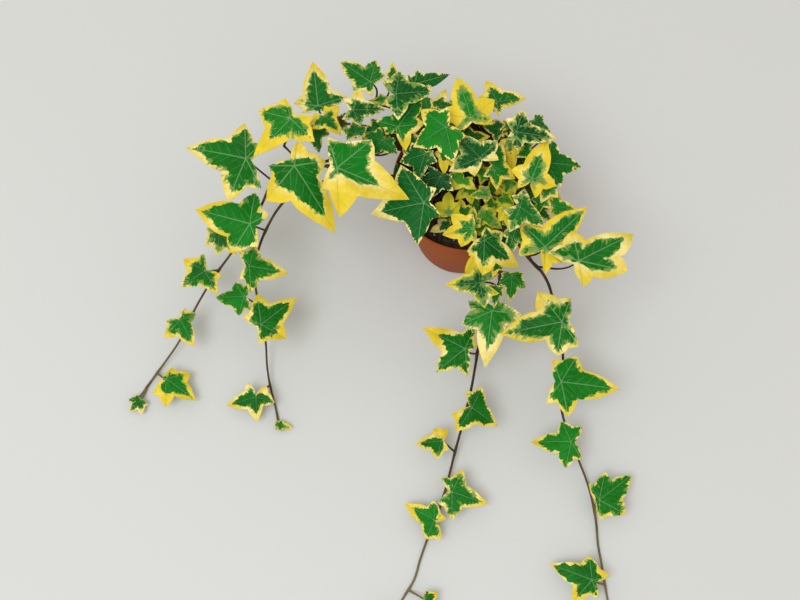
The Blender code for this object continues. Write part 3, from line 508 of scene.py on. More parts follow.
def blade_of(name, foot, tip, roll, places):
    """The blade of a leaf, with its own seeded sag and wave."""
    draw = random.Random(name)
    sag = draw.uniform(*SAG)
    wave = draw.uniform(*WAVE)
    phase = draw.uniform(0, math.tau)
    length = (tip - foot).length
    roll += draw.uniform(-SWAY, SWAY)
    level = blade_frame(foot, tip, roll)
    frame = blade_frame(foot, tip + level.col[2] * sag * length, roll)
    ranges = (BASE_SINUS_DEPTH, SINUS_DEPTH, SINUS_DEPTH, BASE_SINUS_DEPTH)
    depths = [draw.uniform(*depth) for depth in ranges]
    full = draw.uniform(*SHOULDER_FULL)
    lobes = lobes_of(foot, frame, length, places)
    return Blade(name, foot, frame, lobes, depths, full, length, sag, wave, phase)


trial = blade_of("trial", Vector((0, 0, 0)), Vector((TRIAL_LENGTH, 0, 0)), 0, [])
for turn, reach in trial.lobes:
    print(f"lobe of a plain blade: {math.degrees(turn):.0f} degrees, {reach / MM:.0f} mm")

# %% [markdown]
# Between two lobes, the edge is drawn in to a bay, and the stalk stands in a small notch. Every point of
# the flat blade then gets its place in space: the blade sags towards its tips, and waves a little around.

# %% Bays and sag
NOTCH_REACH = 0.09
SINUS_SHARE = 0.35
SINUS_SHIFT = 0.30
MOST_SINUS = 0.92
SAG_POWER = 1.3
WAVES_AROUND = 4


def sinus_between(lobe, following, depth):
    """The bottom of the bay between two lobes: where their tips' chord is cut, drawn inwards."""
    (turn, reach), (next_turn, next_reach) = lobe, following
    gap = next_turn - turn
    share = SINUS_SHARE + SINUS_SHIFT * reach / (reach + next_reach)
    chord = (reach * next_reach * math.sin(gap)
             / (reach * math.sin(gap * share) + next_reach * math.sin(gap * (1 - share))))
    return turn + gap * share, min(chord * depth, MOST_SINUS * min(reach, next_reach))


def bays_of(blade):
    """The bays before, between and after the lobes. The first and the last are the stalk's notch."""
    notch = NOTCH_REACH * blade.length
    between = [sinus_between(*pair) for pair in zip(blade.lobes, blade.lobes[1:], blade.depths)]
    return [(-math.pi, notch)] + between + [(math.pi, notch)]


def blade_point(blade, flat):
    """The point in space of a point of the blade's plane, with the blade's sag and wave."""
    reach = flat.length / blade.length
    turn = math.atan2(flat.y, flat.x)
    rise = -blade.sag * reach ** SAG_POWER + blade.wave * reach * math.sin(WAVES_AROUND * turn + blade.phase)
    return blade.foot + blade.frame @ Vector((flat.x, flat.y, rise * blade.length))


tip = blade_point(trial, Vector((trial.length, 0)))
print(f"height of a plain blade's tip against its foot: {tip.z / MM:.1f} mm")

# %% [markdown]
# ## Letting the leaves settle
#
# Leaves of a real plant push each other aside. A cloth or rigid body simulation could do this, but it
# would move every leaf from its place in the view. So a leaf that would cross another one, or the pot, is
# lifted towards the eye in small steps until it is clear, and still shows at the same place.
#
# The test runs on coarse blades, stalks and stems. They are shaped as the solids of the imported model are,
# so each leaf ends up where its solid is. They only stand for the real ones while these settle, and none
# of them is a piece of the scene.

# %% Coarse tubes
STEM_SIDES = 5


def tube(points, radius, sides):
    """A tube along points, as places and faces. Its ring is carried along without a twist."""
    places = []
    faces = [tuple(range(sides))]
    side = (points[1] - points[0]).orthogonal().normalized()
    for i, point in enumerate(points):
        along = (points[min(i + 1, len(points) - 1)] - points[max(i - 1, 0)]).normalized()
        side = (side - along * side.dot(along)).normalized()
        other = along.cross(side)
        for k in range(sides):
            turn = math.tau * k / sides
            places.append(point + (side * math.cos(turn) + other * math.sin(turn)) * radius)
            if i:
                low, following = (i - 1) * sides + k, (i - 1) * sides + (k + 1) % sides
                faces.append((low, following, following + sides, low + sides))
    faces.append(tuple(range(len(places) - sides, len(places))))
    return places, faces


print("coarse tube:", len(tube(stems["spray_middle"], STEM_RADIUS, STEM_SIDES)[1]), "faces")

# %% [markdown]
# The edge of a blade runs up one flank of each lobe and down the other. Each flank is a Bezier curve with a
# full shoulder near the bay and a narrow neck near the tip, which gives the lobes their drawn-out points.

# %% Coarse blades
BLADE_THICK = 0.0010
SMALL_LEAF = 0.027
HUB_SHARE = 0.16
SHOULDER_PLACE = 0.40
NECK_PLACE = 0.36
NECK_FULL = 0.3


def flank(bay, tip, full, steps):
    """Points from a bay up to a lobe's tip: a full shoulder to its left, then a drawn-out tip."""
    span = tip - bay
    across = Vector((-span.y, span.x)) * full
    shoulder = bay + span * SHOULDER_PLACE + across
    neck = tip - span * NECK_PLACE + across * NECK_FULL
    points = []
    for i in range(steps + 1):
        t = i / steps
        points.append(bay * (1 - t) ** 3 + shoulder * 3 * t * (1 - t) ** 2
                      + neck * 3 * t ** 2 * (1 - t) + tip * t ** 3)
    return points


def outline(blade, steps, base_steps):
    """The blade's edge in its own plane, anticlockwise from the stalk's notch."""
    bays = [turned(*bay) for bay in bays_of(blade)]
    edge = []
    for i, lobe in enumerate(blade.lobes):
        count = steps if i in (1, 2, 3) else base_steps
        edge += flank(bays[i], turned(*lobe), -blade.full, count)[:-1]
        edge += flank(bays[i + 1], turned(*lobe), blade.full, count)[:0:-1]
    return edge


def blade_solid(blade, thick):
    """A blade as places and faces: a fan of triangles from its hub, the same fan below it, and its edge."""
    half = blade.frame.col[2] * (thick / 2)
    steps = 1 if blade.length < SMALL_LEAF else 2
    edge = [blade_point(blade, flat) for flat in outline(blade, steps, 1)]
    hub = blade_point(blade, Vector((HUB_SHARE * blade.length, 0)))
    count = len(edge)
    places = [p + half for p in edge] + [p - half for p in edge] + [hub + half, hub - half]
    faces = []
    for i in range(count):
        j = (i + 1) % count
        faces += [(i, j, 2 * count), (j + count, i + count, 2 * count + 1), (i, i + count, j + count, j)]
    return places, faces


print("coarse blade:", len(blade_solid(trial, BLADE_THICK)[1]), "faces")

# %% [markdown]
# A leaf stalk leaves its stem sideways and meets the blade from below and behind. It may bow to one side to
# pass a leaf in its way, and it never dips into the surface that the plant lies on.

# %% Stalk routes
STALK_RADIUS = 0.0008
STALK_BENDS = 2
STALK_LEAVE = 0.30
STALK_DROOP = 0.05
STALK_BEHIND = 0.22
STALK_BELOW = 0.30
LOWEST_LEAF = 0.0008


def stalk_points(blade, start, bow, bends):
    """A stalk's route: from the stem up into the blade's foot, which it meets from below and behind."""
    along, left, out = blade.frame.col
    reach = (blade.foot - start).length
    aside = left * bow * reach
    leave = start.lerp(blade.foot, STALK_LEAVE) - Vector((0, 0, STALK_DROOP * reach)) + aside
    arrive = blade.foot - (along * STALK_BEHIND + out * STALK_BELOW) * reach + aside / 2
    points = []
    for i in range(bends + 1):
        t = i / bends
        points.append(start * (1 - t) ** 3 + leave * 3 * t * (1 - t) ** 2
                      + arrive * 3 * t ** 2 * (1 - t) + blade.foot * t ** 3)
    for point in points:
        point.z = max(point.z, STALK_RADIUS + LOWEST_LEAF)
    return points


print("bends in a coarse stalk:", len(stalk_points(trial, Vector((0, 0, 0.01)), 0, STALK_BENDS)) - 2)

# %% [markdown]
# A BVH tree sorts the faces of a shape into boxes within boxes, so two shapes can be tested for crossing in
# an instant. Each settled blade and stalk joins the list of what is placed, and later ones keep clear of
# it.

# %% What is placed
VESSEL = ("pot", "soil")
STEM_TEST_RADIUS = 1.4 * STEM_RADIUS


def box_of(places):
    """The lowest and highest corner round places."""
    return [min(p[i] for p in places) for i in range(3)], [max(p[i] for p in places) for i in range(3)]


def is_clear(probe, placed, ignored):
    """True if a probe crosses nothing that is placed, apart from one vine's stem and stalks."""
    low, high = box_of(probe[0])
    tree = BVHTree.FromPolygons(*probe)
    for vine, other, other_low, other_high in placed:
        if vine == ignored or any(low[i] > other_high[i] or high[i] < other_low[i] for i in range(3)):
            continue
        if tree.overlap(other):
            return False
    return True


def remember(placed, vine, probe):
    """Add a probe to what is placed, with its vine's name if that vine's own stalks may cross it."""
    placed.append((vine, BVHTree.FromPolygons(*probe), *box_of(probe[0])))


placed = []
for name, points in stems.items():
    remember(placed, name, tube(points, STEM_TEST_RADIUS, STEM_SIDES))
for node in VESSEL:
    solid = frame["nodes"][node].data
    remember(placed, node, ([v.co for v in solid.vertices], [face.vertices for face in solid.polygons]))
print(len(placed), "shapes placed before the leaves")

# %% [markdown]
# The lowest leaves settle first. For each lift, a leaf tries the nearest places on its stem for its stalk,
# and a few bows. The stems of a vine may cross its own stalks, because they are grown together anyway.

# %% Settling
LIFT_STEP = 0.002
MOST_LIFTS = 26
BLADE_CLEARANCE = 0.0005
STALK_TEST_RADIUS = 0.0015
STALK_SIDES = 3
STALK_STARTS = 6
STALK_WISH = (0.012, 0.016)
STALK_BOWS = (0, 0.2, -0.2, 0.4, -0.4)


def stalk_starts(blade, stem):
    """The places on a stem that a blade's stalk may leave from, best first: they lie below and behind it."""
    along, _, out = blade.frame.col
    behind = blade.foot - along * STALK_WISH[0] - out * STALK_WISH[1]
    places = stem[2:] + [(a + b) / 2 for a, b in zip(stem[1:], stem[2:])]
    return sorted(places, key=lambda point: (point - behind).length)[:STALK_STARTS]


def settle(make_blade, stem_name, stem, placed, most_lifts):
    """The blade, its stalk's start and its bow, lifted towards the eye until both cross nothing."""
    for lift in range(most_lifts):
        blade = make_blade(lift * LIFT_STEP)
        wide = blade_solid(blade, BLADE_THICK + 2 * BLADE_CLEARANCE)
        if min(place.z for place in wide[0]) < LOWEST_LEAF or not is_clear(wide, placed, ""):
            continue
        for start in stalk_starts(blade, stem):
            for bow in STALK_BOWS:
                route = stalk_points(blade, start, bow, STALK_BENDS)
                stalk = tube(route, STALK_TEST_RADIUS, STALK_SIDES)
                if is_clear(stalk, placed, stem_name):
                    remember(placed, None, blade_solid(blade, BLADE_THICK))
                    remember(placed, stem_name, stalk)
                    return blade, start, bow
    return None


def listed_blade(row, lift):
    """The blade of a listed leaf, lifted along its own sight line."""
    height = row.height + lift
    foot = seen_at(*row.foot, height)
    tip = seen_at(*row.tip, height + row.drop)
    return blade_of(row.name, foot, tip, row.roll, row.sides)


leaves = {name: [] for name in VINES}
rows = [(name, row) for name, (_, listed) in VINES.items() for row in listed]
for name, row in sorted(rows, key=lambda pair: pair[1].height):
    settled = settle(lambda lift, seen=row: listed_blade(seen, lift), name, stems[name], placed, MOST_LIFTS)
    if settled:
        leaves[name].append(settled)
print(sum(len(found) for found in leaves.values()), "leaves settled")

# %% [markdown]
# ## Leaves set by rule
#
# The view doesn't reach the back of the crown or the space under its top leaves, where a real ivy has
# many more. Rows written by hand would say more than anyone can know there, so a rule draws these leaves
# at random, with a fixed seed, from two bands of bearing, height and pitch.
#
# A leaf is kept only where its blade and its stalk lie before or behind placed leaves and stems in the
# main view, so the outline of the plant stays as it is. The pot and the soil don't count for this,
# because they show at the front.

# %% Filling leaves
Band = namedtuple("Band", "count bearings outs heights lengths pitches turns")
FILL_BANDS = [
    Band(15, (-15, 195), (0.056, 0.088), (0.088, 0.124), (0.022, 0.031), (-65, -25), (-35, 35)),
    Band(20, (0, 360), (0.004, 0.054), (0.104, 0.130), (0.015, 0.026), (-30, 5), (-180, 180)),
]
FILL_ROLLS = (-18, 18)
FILL_TRIES = 300
FILL_SEED = 11


def filling_blade(draw, band, name):
    """A blade drawn at random from a band's ranges."""
    bearing = math.radians(draw.uniform(*band.bearings))
    out = draw.uniform(*band.outs)
    foot = Vector((math.cos(bearing) * out, math.sin(bearing) * out, draw.uniform(*band.heights)))
    heading = bearing + math.radians(draw.uniform(*band.turns))
    pitch = math.radians(draw.uniform(*band.pitches))
    level = Vector((math.cos(heading), math.sin(heading), 0))
    along = level * math.cos(pitch) + Vector((0, 0, math.sin(pitch)))
    length = draw.uniform(*band.lengths)
    roll = math.radians(draw.uniform(*FILL_ROLLS))
    return blade_of(name, foot, foot + along * length, roll, [])


def keeps_outline(points, placed):
    """True if every point is before or behind a placed leaf or stem, seen from the viewpoint."""
    for point in points:
        line = (point - EYE).normalized()
        if not any(tree.ray_cast(EYE, line)[0] for vine, tree, _, _ in placed if vine not in VESSEL):
            return False
    return True


draw = random.Random(FILL_SEED)
found = []
for band in FILL_BANDS:
    wanted = len(found) + band.count
    for _ in range(band.count * FILL_TRIES):
        if len(found) == wanted:
            break
        blade = filling_blade(draw, band, f"fill_{len(found)}")
        if not keeps_outline([blade_point(blade, flat) for flat in outline(blade, 1, 1)], placed):
            continue
        vine = min(stems, key=lambda name: min((p - blade.foot).length for p in stems[name]))
        settled = settle(lambda lift, still=blade: still, vine, stems[vine], placed, 1)
        if not settled:
            continue
        stalk = stalk_points(*settled, STALK_BENDS)
        halves = [(a + b) / 2 for a, b in zip(stalk, stalk[1:])]
        if keeps_outline(halves, placed[:-2]):
            found.append(vine)
            leaves[vine].append(settled)
        else:
            del placed[-2:]
print(len(found), "leaves set by rule")

# %% [markdown]
# Each vine now has to fill the same box as its solid in the frame. If these differ by more than a
# millimetre, the list here and the solids are no longer the same plant.

# %% Compare with the frame
furthest = 0
for name, found in leaves.items():
    places = tube(stems[name], STEM_TIP_RADIUS, STEM_SIDES)[0]
    for blade, _, _ in found:
        places += blade_solid(blade, BLADE_THICK)[0]
    for corner, wanted in zip(box_of(places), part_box(name)):
        furthest = max(furthest, *(abs(a - b) for a, b in zip(corner, wanted)))
print(f"largest difference between a vine and its solid: {furthest / MM:.2f} mm")

# %% [markdown]
# ## The green of each leaf
#
# On this kind of ivy the green stays in the middle of the blade and the margin has no green at all. How far
# the green goes along each of the five lobes differs from leaf to leaf. So each look gives those five
# shares, from the right base lobe round to the left one. Then come the margin's width in millimetres, how
# creamy the margin is, how blue the green is, and how much of the blade is the grey-green in between. The
# blue-green is darker than the real tone, so a high blue also paints the shade of the crown on a leaf. The
# last value, where there is one, is how far the green fills the bays between the lobes.
#
# A young leaf is a fresh lime green, which isn't on the scale from green to blue-green, so its blue is
# negative. A leaf without a look of its own draws one: young in the middle of the crown, and in the shade
# below dark blue-green with little margin, which is painted shade.

# %% Looks
Look = namedtuple("Look", "greens margin cream blue grey bays", defaults=[1])
LOOKS = {
    "a1": Look((0.95, 0.82, 0.88, 0.78, 0.97), 1.3, 0.35, 0.10, 0.55),
    "a2": Look((0.95, 0.95, 0.84, 0.90, 0.98), 1.2, 0.20, 0.10, 0.35),
    "a3": Look((0.80, 0.75, 0.85, 0.75, 0.80), 1.6, 0.25, 0.50, 0.60),
    "a4": Look((0.88, 0.60, 0.95, 0.80, 0.70), 1.3, 0.15, 0.10, 0.50),
    "a5": Look((0.75, 0.70, 0.80, 0.90, 0.60), 1.3, 0.20, 0.10, 0.45),
    "a6": Look((0.50, 0.60, 0.82, 0.68, 0.55), 2.4, 0.05, 0.20, 0.25),
    "b1": Look((0.60, 0.95, 0.78, 0.80, 0.80), 1.4, 0.30, 0.10, 0.45),
    "b2": Look((0.90, 0.92, 0.97, 0.95, 0.90), 0.4, 0.20, 0.10, 0.30),
    "b3": Look((0.85, 0.62, 0.84, 0.80, 0.60), 1.9, 0.15, 0.10, 0.30),
    "b4": Look((0.70, 0.80, 0.70, 0.90, 0.35), 1.3, 0.35, 0.05, 0.25),
    "c1": Look((0.70, 0.85, 0.55, 0.74, 0.30), 2.2, 0.05, 0.15, 0.55),
    "c2": Look((0.75, 0.85, 0.76, 0.62, 0.60), 1.8, 0.55, 0.50, 0.45),
    "c3": Look((0.40, 0.70, 0.70, 0.50, 0.35), 1.8, 0.00, 0.05, 0.30),
    "c4": Look((0.88, 0.92, 0.90, 0.92, 0.85), 0.9, 0.35, 0.35, 0.40),
    "c5": Look((0.90, 0.90, 0.92, 0.90, 0.85), 1.1, 0.45, 0.65, 0.60),
    "c6": Look((0.90, 0.92, 0.94, 0.45, 0.55), 1.2, 0.70, 0.60, 0.55),
    "c8": Look((0.50, 0.16, 0.55, 0.93, 0.92), 1.4, 0.50, 0.15, 0.45),
    "c9": Look((0.90, 0.62, 0.74, 0.78, 0.30), 1.8, 0.30, 0.15, 0.35),
    "c13": Look((0.95, 0.95, 0.90, 0.95, 0.95), 0.8, 0.20, 0.60, 0.30),
    "c12": Look((0.97, 0.97, 0.98, 0.97, 0.97), 0.3, 0.20, 0.40, 0.10),
    "d1": Look((0.60, 0.70, 0.98, 0.97, 0.97), 0.4, 0.15, 0.25, 0.15),
    "d2": Look((0.97, 0.98, 0.99, 0.97, 0.97), 0.4, 0.60, 0.35, 0.10),
    "d3": Look((0.70, 0.75, 0.82, 0.62, 0.60), 2.2, 0.25, 0.45, 0.30),
    "d4": Look((0.85, 0.85, 0.55, 0.80, 0.80), 1.4, 0.35, 0.40, 0.20),
    "d5": Look((0.78, 0.28, 0.74, 0.14, 0.72), 3.2, 0.00, 0.10, 0.75),
    "d6": Look((0.92, 0.82, 0.97, 0.96, 0.95), 0.9, 0.25, 0.05, 0.15),
    "d7": Look((0.96, 0.96, 0.97, 0.95, 0.95), 0.6, 0.95, 0.70, 0.30),
    "d8": Look((0.99, 0.97, 0.82, 0.98, 0.99), 0.6, 0.50, 0.75, 0.05),
    "d9": Look((0.97, 0.97, 0.96, 0.95, 0.97), 0.3, 0.50, 0.95, 0.10),
    "d10": Look((0.30, 0.55, 0.45, 0.55, 0.30), 1.0, 0.00, 0.15, 0.20),
    "d11": Look((0.30, 0.88, 0.95, 0.80, 0.45), 1.9, 0.90, 0.80, 0.60),
    "d12": Look((0.80, 0.80, 0.72, 0.85, 0.75), 1.8, 0.20, 0.20, 0.30),
    "d13": Look((0.30, 0.35, 0.40, 0.30, 0.30), 2.6, 0.00, 0.00, 0.60),
    "d14": Look((0.98, 0.98, 0.98, 0.98, 0.98), 0.3, 0.10, 0.45, 0.05),
    "d15": Look((0.80, 0.85, 0.92, 0.85, 0.70), 1.8, 0.65, 0.85, 0.50),
    "d16": Look((0.88, 0.88, 0.92, 0.92, 0.92), 0.7, 0.80, 0.75, 0.50),
    "d17": Look((0.80, 0.85, 0.85, 0.70, 0.60), 1.0, 0.00, 0.15, 0.25),
    "d19": Look((0.45, 0.50, 0.62, 0.45, 0.50), 2.6, 0.15, 0.30, 0.70),
    "d20": Look((0.95, 0.96, 0.98, 0.96, 0.95), 0.7, 0.30, 0.30, 0.10),
    "d22": Look((0.90, 0.88, 0.92, 0.85, 0.80), 1.4, 0.60, 0.55, 0.45),
    "d33": Look((0.98, 0.98, 0.98, 0.98, 0.98), 0.2, 0.20, 0.90, 0.05),
    "d34": Look((0.96, 0.97, 0.98, 0.97, 0.96), 0.3, 0.10, 0.80, 0.10),
    "d35": Look((0.98, 0.98, 0.98, 0.98, 0.98), 0.2, 0.10, 0.90, 0.05),
    "d36": Look((0.98, 0.98, 0.98, 0.98, 0.98), 0.2, 0.10, 0.90, 0.05),
    "d24": Look((0.70, 0.75, 0.80, 0.70, 0.60), 1.7, 0.15, 0.10, 0.35),
    "d25": Look((0.20, 0.35, 0.88, 0.90, 0.90), 1.8, 0.10, 0.40, 0.60, 0.55),
    "d26": Look((0.10, 0.68, 0.82, 0.62, 0.93), 2.8, 0.70, 0.15, 0.60, 0.85),
    "e1": Look((0.80, 0.70, 0.72, 0.80, 0.85), 1.8, 0.35, 0.45, 0.40),
    "e2": Look((0.80, 0.85, 0.90, 0.85, 0.80), 1.1, 0.55, 0.50, 0.50),
    "e3": Look((0.95, 0.95, 0.60, 0.90, 0.95), 0.5, 0.10, 0.20, 0.20),
    "e4": Look((0.90, 0.70, 0.78, 0.85, 0.75), 1.4, 0.05, 0.70, 0.65),
    "e5": Look((0.92, 0.97, 0.92, 0.97, 0.92), 0.4, 0.10, 0.15, 0.30),
    "e6": Look((0.95, 0.90, 0.96, 0.85, 0.95), 0.5, 0.10, 0.20, 0.15),
    "e7": Look((0.10, 0.15, 0.20, 0.10, 0.10), 3.0, 0.00, 0.00, 0.30),
    "e8": Look((0.92, 0.97, 0.66, 0.86, 0.92), 1.6, 1.00, 0.10, 0.65),
    "e9": Look((0.55, 0.90, 0.62, 0.97, 0.95), 1.1, 0.30, 0.05, 0.20),
    "e10": Look((0.60, 0.82, 0.88, 0.92, 0.80), 1.4, 0.15, 0.10, 0.25),
    "e11": Look((0.20, 0.25, 0.85, 0.80, 0.45), 1.6, 0.20, 0.10, 0.20),
    "e12": Look((0.78, 0.88, 0.78, 0.80, 0.85), 1.5, 0.30, 0.15, 0.45),
    "e13": Look((0.35, 0.85, 0.72, 0.85, 0.80), 1.5, 0.10, 0.05, 0.15),
    "f1": Look((0.20, 0.30, 0.25, 0.30, 0.20), 1.6, 0.00, -0.70, 0.70),
    "f3": Look((0.60, 0.85, 0.60, 0.30, 0.40), 0.8, 0.10, -0.40, 0.30),
    "f4": Look((0.95, 0.60, 0.55, 0.95, 0.95), 0.7, 0.45, 0.90, 0.05),
    "f5": Look((0.75, 0.80, 0.75, 0.60, 0.70), 0.8, 0.05, -0.50, 0.50),
    "f8": Look((0.55, 0.60, 0.80, 0.60, 0.50), 0.9, 0.10, -0.50, 0.60),
    "f12": Look((0.55, 0.65, 0.80, 0.65, 0.55), 0.9, 0.05, -0.80, 0.60),
    "f17": Look((0.10, 0.15, 0.15, 0.10, 0.10), 2.0, 0.00, -0.60, 0.20),
    "f2": Look((0.70, 0.55, 0.60, 0.65, 0.75), 1.4, 0.10, 0.10, 0.60, 0.65),
    "g1": Look((0.90, 0.55, 0.84, 0.82, 0.85), 1.6, 0.45, 0.10, 0.60),
    "g2": Look((0.78, 0.88, 0.88, 0.85, 0.85), 1.3, 0.10, 0.10, 0.25),
    "g3": Look((0.90, 0.92, 0.84, 0.92, 0.90), 0.9, 0.25, 0.05, 0.20),
    "g4": Look((0.85, 0.90, 0.97, 0.92, 0.75), 1.0, 0.15, 0.05, 0.20),
    "g5": Look((0.65, 0.85, 0.92, 0.75, 0.80), 1.0, 0.15, 0.05, 0.20),
}
print(len(LOOKS), "looks given")

# %% [markdown]
# A young leaf is a fresh lime green, which isn't on the scale from green to blue-green, so its blue is
# negative. A leaf without a look of its own draws one from ranges: young ones in the middle of the crown,
# and in the shade below dark blue-green ones with little margin, which is painted shade.

# %% Drawn looks
LookRange = namedtuple("LookRange", "greens margins creams blues")
OPEN_LEAF = LookRange((0.66, 0.97), (0.3, 1.4), (0, 0.5), (0.1, 0.6))
# Leaves deep in the crown are drawn dark blue-green with little margin: painted shade.
DEEP_SHADE_LEAF = LookRange((0.92, 1.00), (0.2, 0.6), (0, 0.3), (0.3, 1.0))
YOUNG_LEAF = LookRange((0.45, 0.95), (0.3, 1.0), (0, 0.4), (-1.0, -0.3))
DRAWN_GREY = (0.1, 0.4)


def look_of(name):
    """A leaf's look: its own, or one drawn from its name."""
    if name in LOOKS:
        return LOOKS[name]
    draw = random.Random(name + " look")
    kind = DEEP_SHADE_LEAF if name.startswith("fill") else YOUNG_LEAF if name.startswith("f") else OPEN_LEAF
    greens = tuple(draw.uniform(*kind.greens) for _ in range(5))
    return Look(greens, draw.uniform(*kind.margins), draw.uniform(*kind.creams), draw.uniform(*kind.blues),
                draw.uniform(*DRAWN_GREY))


names = [blade.name for found in leaves.values() for blade, _, _ in found]
print(len([name for name in names if name not in LOOKS]), "leaves draw their own look")

# %% [markdown]
# ## A fine blade
#
# The real blade is thin, with a lobed edge that ripples a little. It could be a flat square with a
# see-through picture of a leaf, but then it would have no edge to catch the light. So its surface fans
# out from the stalk: rays run to the edge and rings cross them.
#
# A flat grid has just this layout, so each blade starts as create_grid, and every vertex is moved to its
# ray and ring. Merging the doubles then closes the fan. One ray always runs along the rib of each lobe,
# so the rib can be pressed in sharply, and one runs to each bay.

# %% Fine outline
EDGE_RIPPLE = 0.012
LARGE_RINGS = 8
LARGE_STEPS = 7
SMALL_RINGS = 5
SMALL_STEPS = 5


def fine_outline(blade, steps):
    """The blade's edge in fine steps, slightly uneven, and closed with its first point."""
    draw = random.Random(blade.name + " edge")
    edge = outline(blade, steps, steps)
    for i in range(len(edge)):
        if i % steps:
            edge[i] = edge[i] * (1 + EDGE_RIPPLE * draw.uniform(-1, 1))
    return edge + edge[:1]


print("edge of a fine blade:", len(fine_outline(trial, LARGE_STEPS)), "points")

# %% [markdown]
# Both the relief and the colours of a blade follow its ribs and its edge. So the first helpers measure how
# far a point of the flat blade is from each, and how far the green reaches in its direction.

# %% Distances on a blade
def rib_place(flat, lobe):
    """How far a point lies along a lobe's rib, and how far to the side of it."""
    turn, _ = lobe
    return flat.dot(turned(turn, 1)), abs(flat.dot(turned(turn + math.pi / 2, 1)))


def rib_distance(flat, blade):
    """The distance from a point to the nearest rib."""
    found = flat.length
    for lobe in blade.lobes:
        along, aside = rib_place(flat, lobe)
        if along > 0:
            found = min(found, aside)
    return found


def edge_distance(flat, edge):
    """The distance from a point to the blade's edge."""
    found = math.inf
    for a, b in zip(edge, edge[1:]):
        if a is edge[0] or b is edge[-1]:
            continue
        across = b - a
        share = min(max((flat - a).dot(across) / across.length_squared, 0), 1)
        found = min(found, (flat - a - across * share).length)
    return found


def green_share(turn, blade, look):
    """How far the green reaches in this direction, as a share of the way to the edge."""
    turns = [-math.pi] + [lobe[0] for lobe in blade.lobes] + [math.pi]
    shares = [look.greens[0], *look.greens, look.greens[-1]]
    for low, high, start, end in zip(turns, turns[1:], shares, shares[1:]):
        if low <= turn <= high:
            t = (turn - low) / (high - low)
            bay = 0 if math.pi in (-low, high) else math.sin(math.pi * t) ** 2
            return (start + (end - start) * (3 - 2 * t) * t * t) * (1 + (look.bays - 1) * bay)
    return shares[-1]


print(f"green along the main rib of a plain blade: {green_share(0, trial, look_of(trial.name)):.2f}")

# %% [markdown]
# A real blade is pressed in along its ribs, folds up gently between them, curls and has a wavy rim. This
# finer relief is added to the sag and wave of the coarse blade.

# %% Blade relief
RIB_WIDTH = 0.0011
RIB_DEPTH = 0.00035
FOLD = (0.03, 0.10)
CURL = 0.22
RIM_WAVE = 0.0004
RIM_WAVES = 11
RIM_POWER = 4


def blade_rise(blade, flat, share, side, fold):
    """How much finer detail lifts the surface: folds and a groove along the ribs, a curl and a wavy rim."""
    rib = rib_distance(flat, blade)
    groove = fold * rib + RIB_DEPTH * (1 - math.exp(-(rib / RIB_WIDTH) ** 2))
    turn = math.atan2(flat.y, flat.x)
    curl = -side * CURL * rib * rib / blade.length
    return groove + curl + RIM_WAVE * share ** RIM_POWER * math.sin(RIM_WAVES * turn + 2 * blade.phase)


beside_rib = Vector((0.5, 0.1)) * trial.length
lift = blade_rise(trial, beside_rib, 0.5, 1, FOLD[1])
print(f"beside its main rib, the relief lifts a plain blade by {lift / MM:.2f} mm")

# %% [markdown]
# Each blade also carries what its finish needs: where a point lies on the blade, how far it is from the
# nearest rib and along it, how deep in the green it lies, and the leaf's own tones. A picture laid over a
# UV map would do the same for one leaf. Values that are stored on the mesh do it for all of them, and the
# pattern moves and bends with the blade.

# %% Fine blades
CURL_SIDES = (-1, 1, 1)
SEEDS = (0, 50)
LOWEST_POINT = 0.0006
MERGE_DISTANCE = 1e-6


def add_fine_blade(work, blade, look, steps, rings):
    """Add one blade to a mesh, as a sheet with its upper face out."""
    draw = random.Random(blade.name + " blade")
    seed = draw.uniform(*SEEDS)
    side = draw.choice(CURL_SIDES)
    fold = draw.uniform(*FOLD)
    edge = fine_outline(blade, steps)
    rays = len(edge) - 1
    spot = work.verts.layers.float_vector["spot"]
    tone = work.verts.layers.float_vector["tone"]
    green = work.verts.layers.float["green"]
    rib = work.loops.layers.float_vector["rib"]
    grid = bmesh.ops.create_grid(work, x_segments=rings, y_segments=rays, size=0.5)["verts"]
    flats = {}
    for vert in grid:
        share = round((vert.co.x + 0.5) * rings) / rings
        ray = round((vert.co.y + 0.5) * rays)
        flat = edge[ray] * share
        flats[vert] = (flat, ray)
        rise = blade_rise(blade, flat, share, side, fold)
        vert.co = blade_point(blade, flat) + blade.frame.col[2] * rise
        vert.co.z = max(vert.co.z, LOWEST_POINT)
        to_edge = edge_distance(flat, edge)
        reach = green_share(math.atan2(flat.y, flat.x), blade, look)
        vert[spot] = (flat.x, flat.y, seed)
        vert[tone] = (look.cream, look.blue, look.grey)
        vert[green] = min((reach - share) * edge[ray].length, to_edge - look.margin * MM)
    for face in {face for vert in grid for face in vert.link_faces}:
        lobe = blade.lobes[min(flats[vert][1] for vert in face.verts) // (2 * steps)]
        for loop in face.loops:
            along, aside = rib_place(flats[loop.vert][0], lobe)
            loop[rib] = (along / blade.length, aside / blade.length, blade.length)
    bmesh.ops.remove_doubles(work, verts=grid, dist=MERGE_DISTANCE)


def new_sheet():
    """An empty mesh with the layers that the leaf finish reads."""
    work = bmesh.new()
    for name in ("spot", "tone"):
        work.verts.layers.float_vector.new(name)
    work.verts.layers.float.new("green")
    work.loops.layers.float_vector.new("rib")
    return work


sheet = new_sheet()
add_fine_blade(sheet, trial, look_of(trial.name), LARGE_STEPS, LARGE_RINGS)
print("fine blade:", len(sheet.verts), "vertices,", len(sheet.faces), "faces")
sheet.free()

# %% [markdown]
# ## Shader helpers
#
# A node tree can be built in the editor by hand, but in a script each node takes a line to make it, some
# to set it and one for each link. Small helpers do all of this in one call. An input is given either a
# plain value or the output of another node.

# %% Shader helpers
def add_node(tree, kind, inputs=None, **settings):
    """Make a node, set it up, and fill or link its inputs."""
    made = tree.nodes.new(kind)
    for name, value in settings.items():
        setattr(made, name, value)
    for name, value in (inputs or {}).items():
        if isinstance(value, bpy.types.NodeSocket):
            tree.links.new(value, made.inputs[name])
        else:
            made.inputs[name].default_value = value
    return made


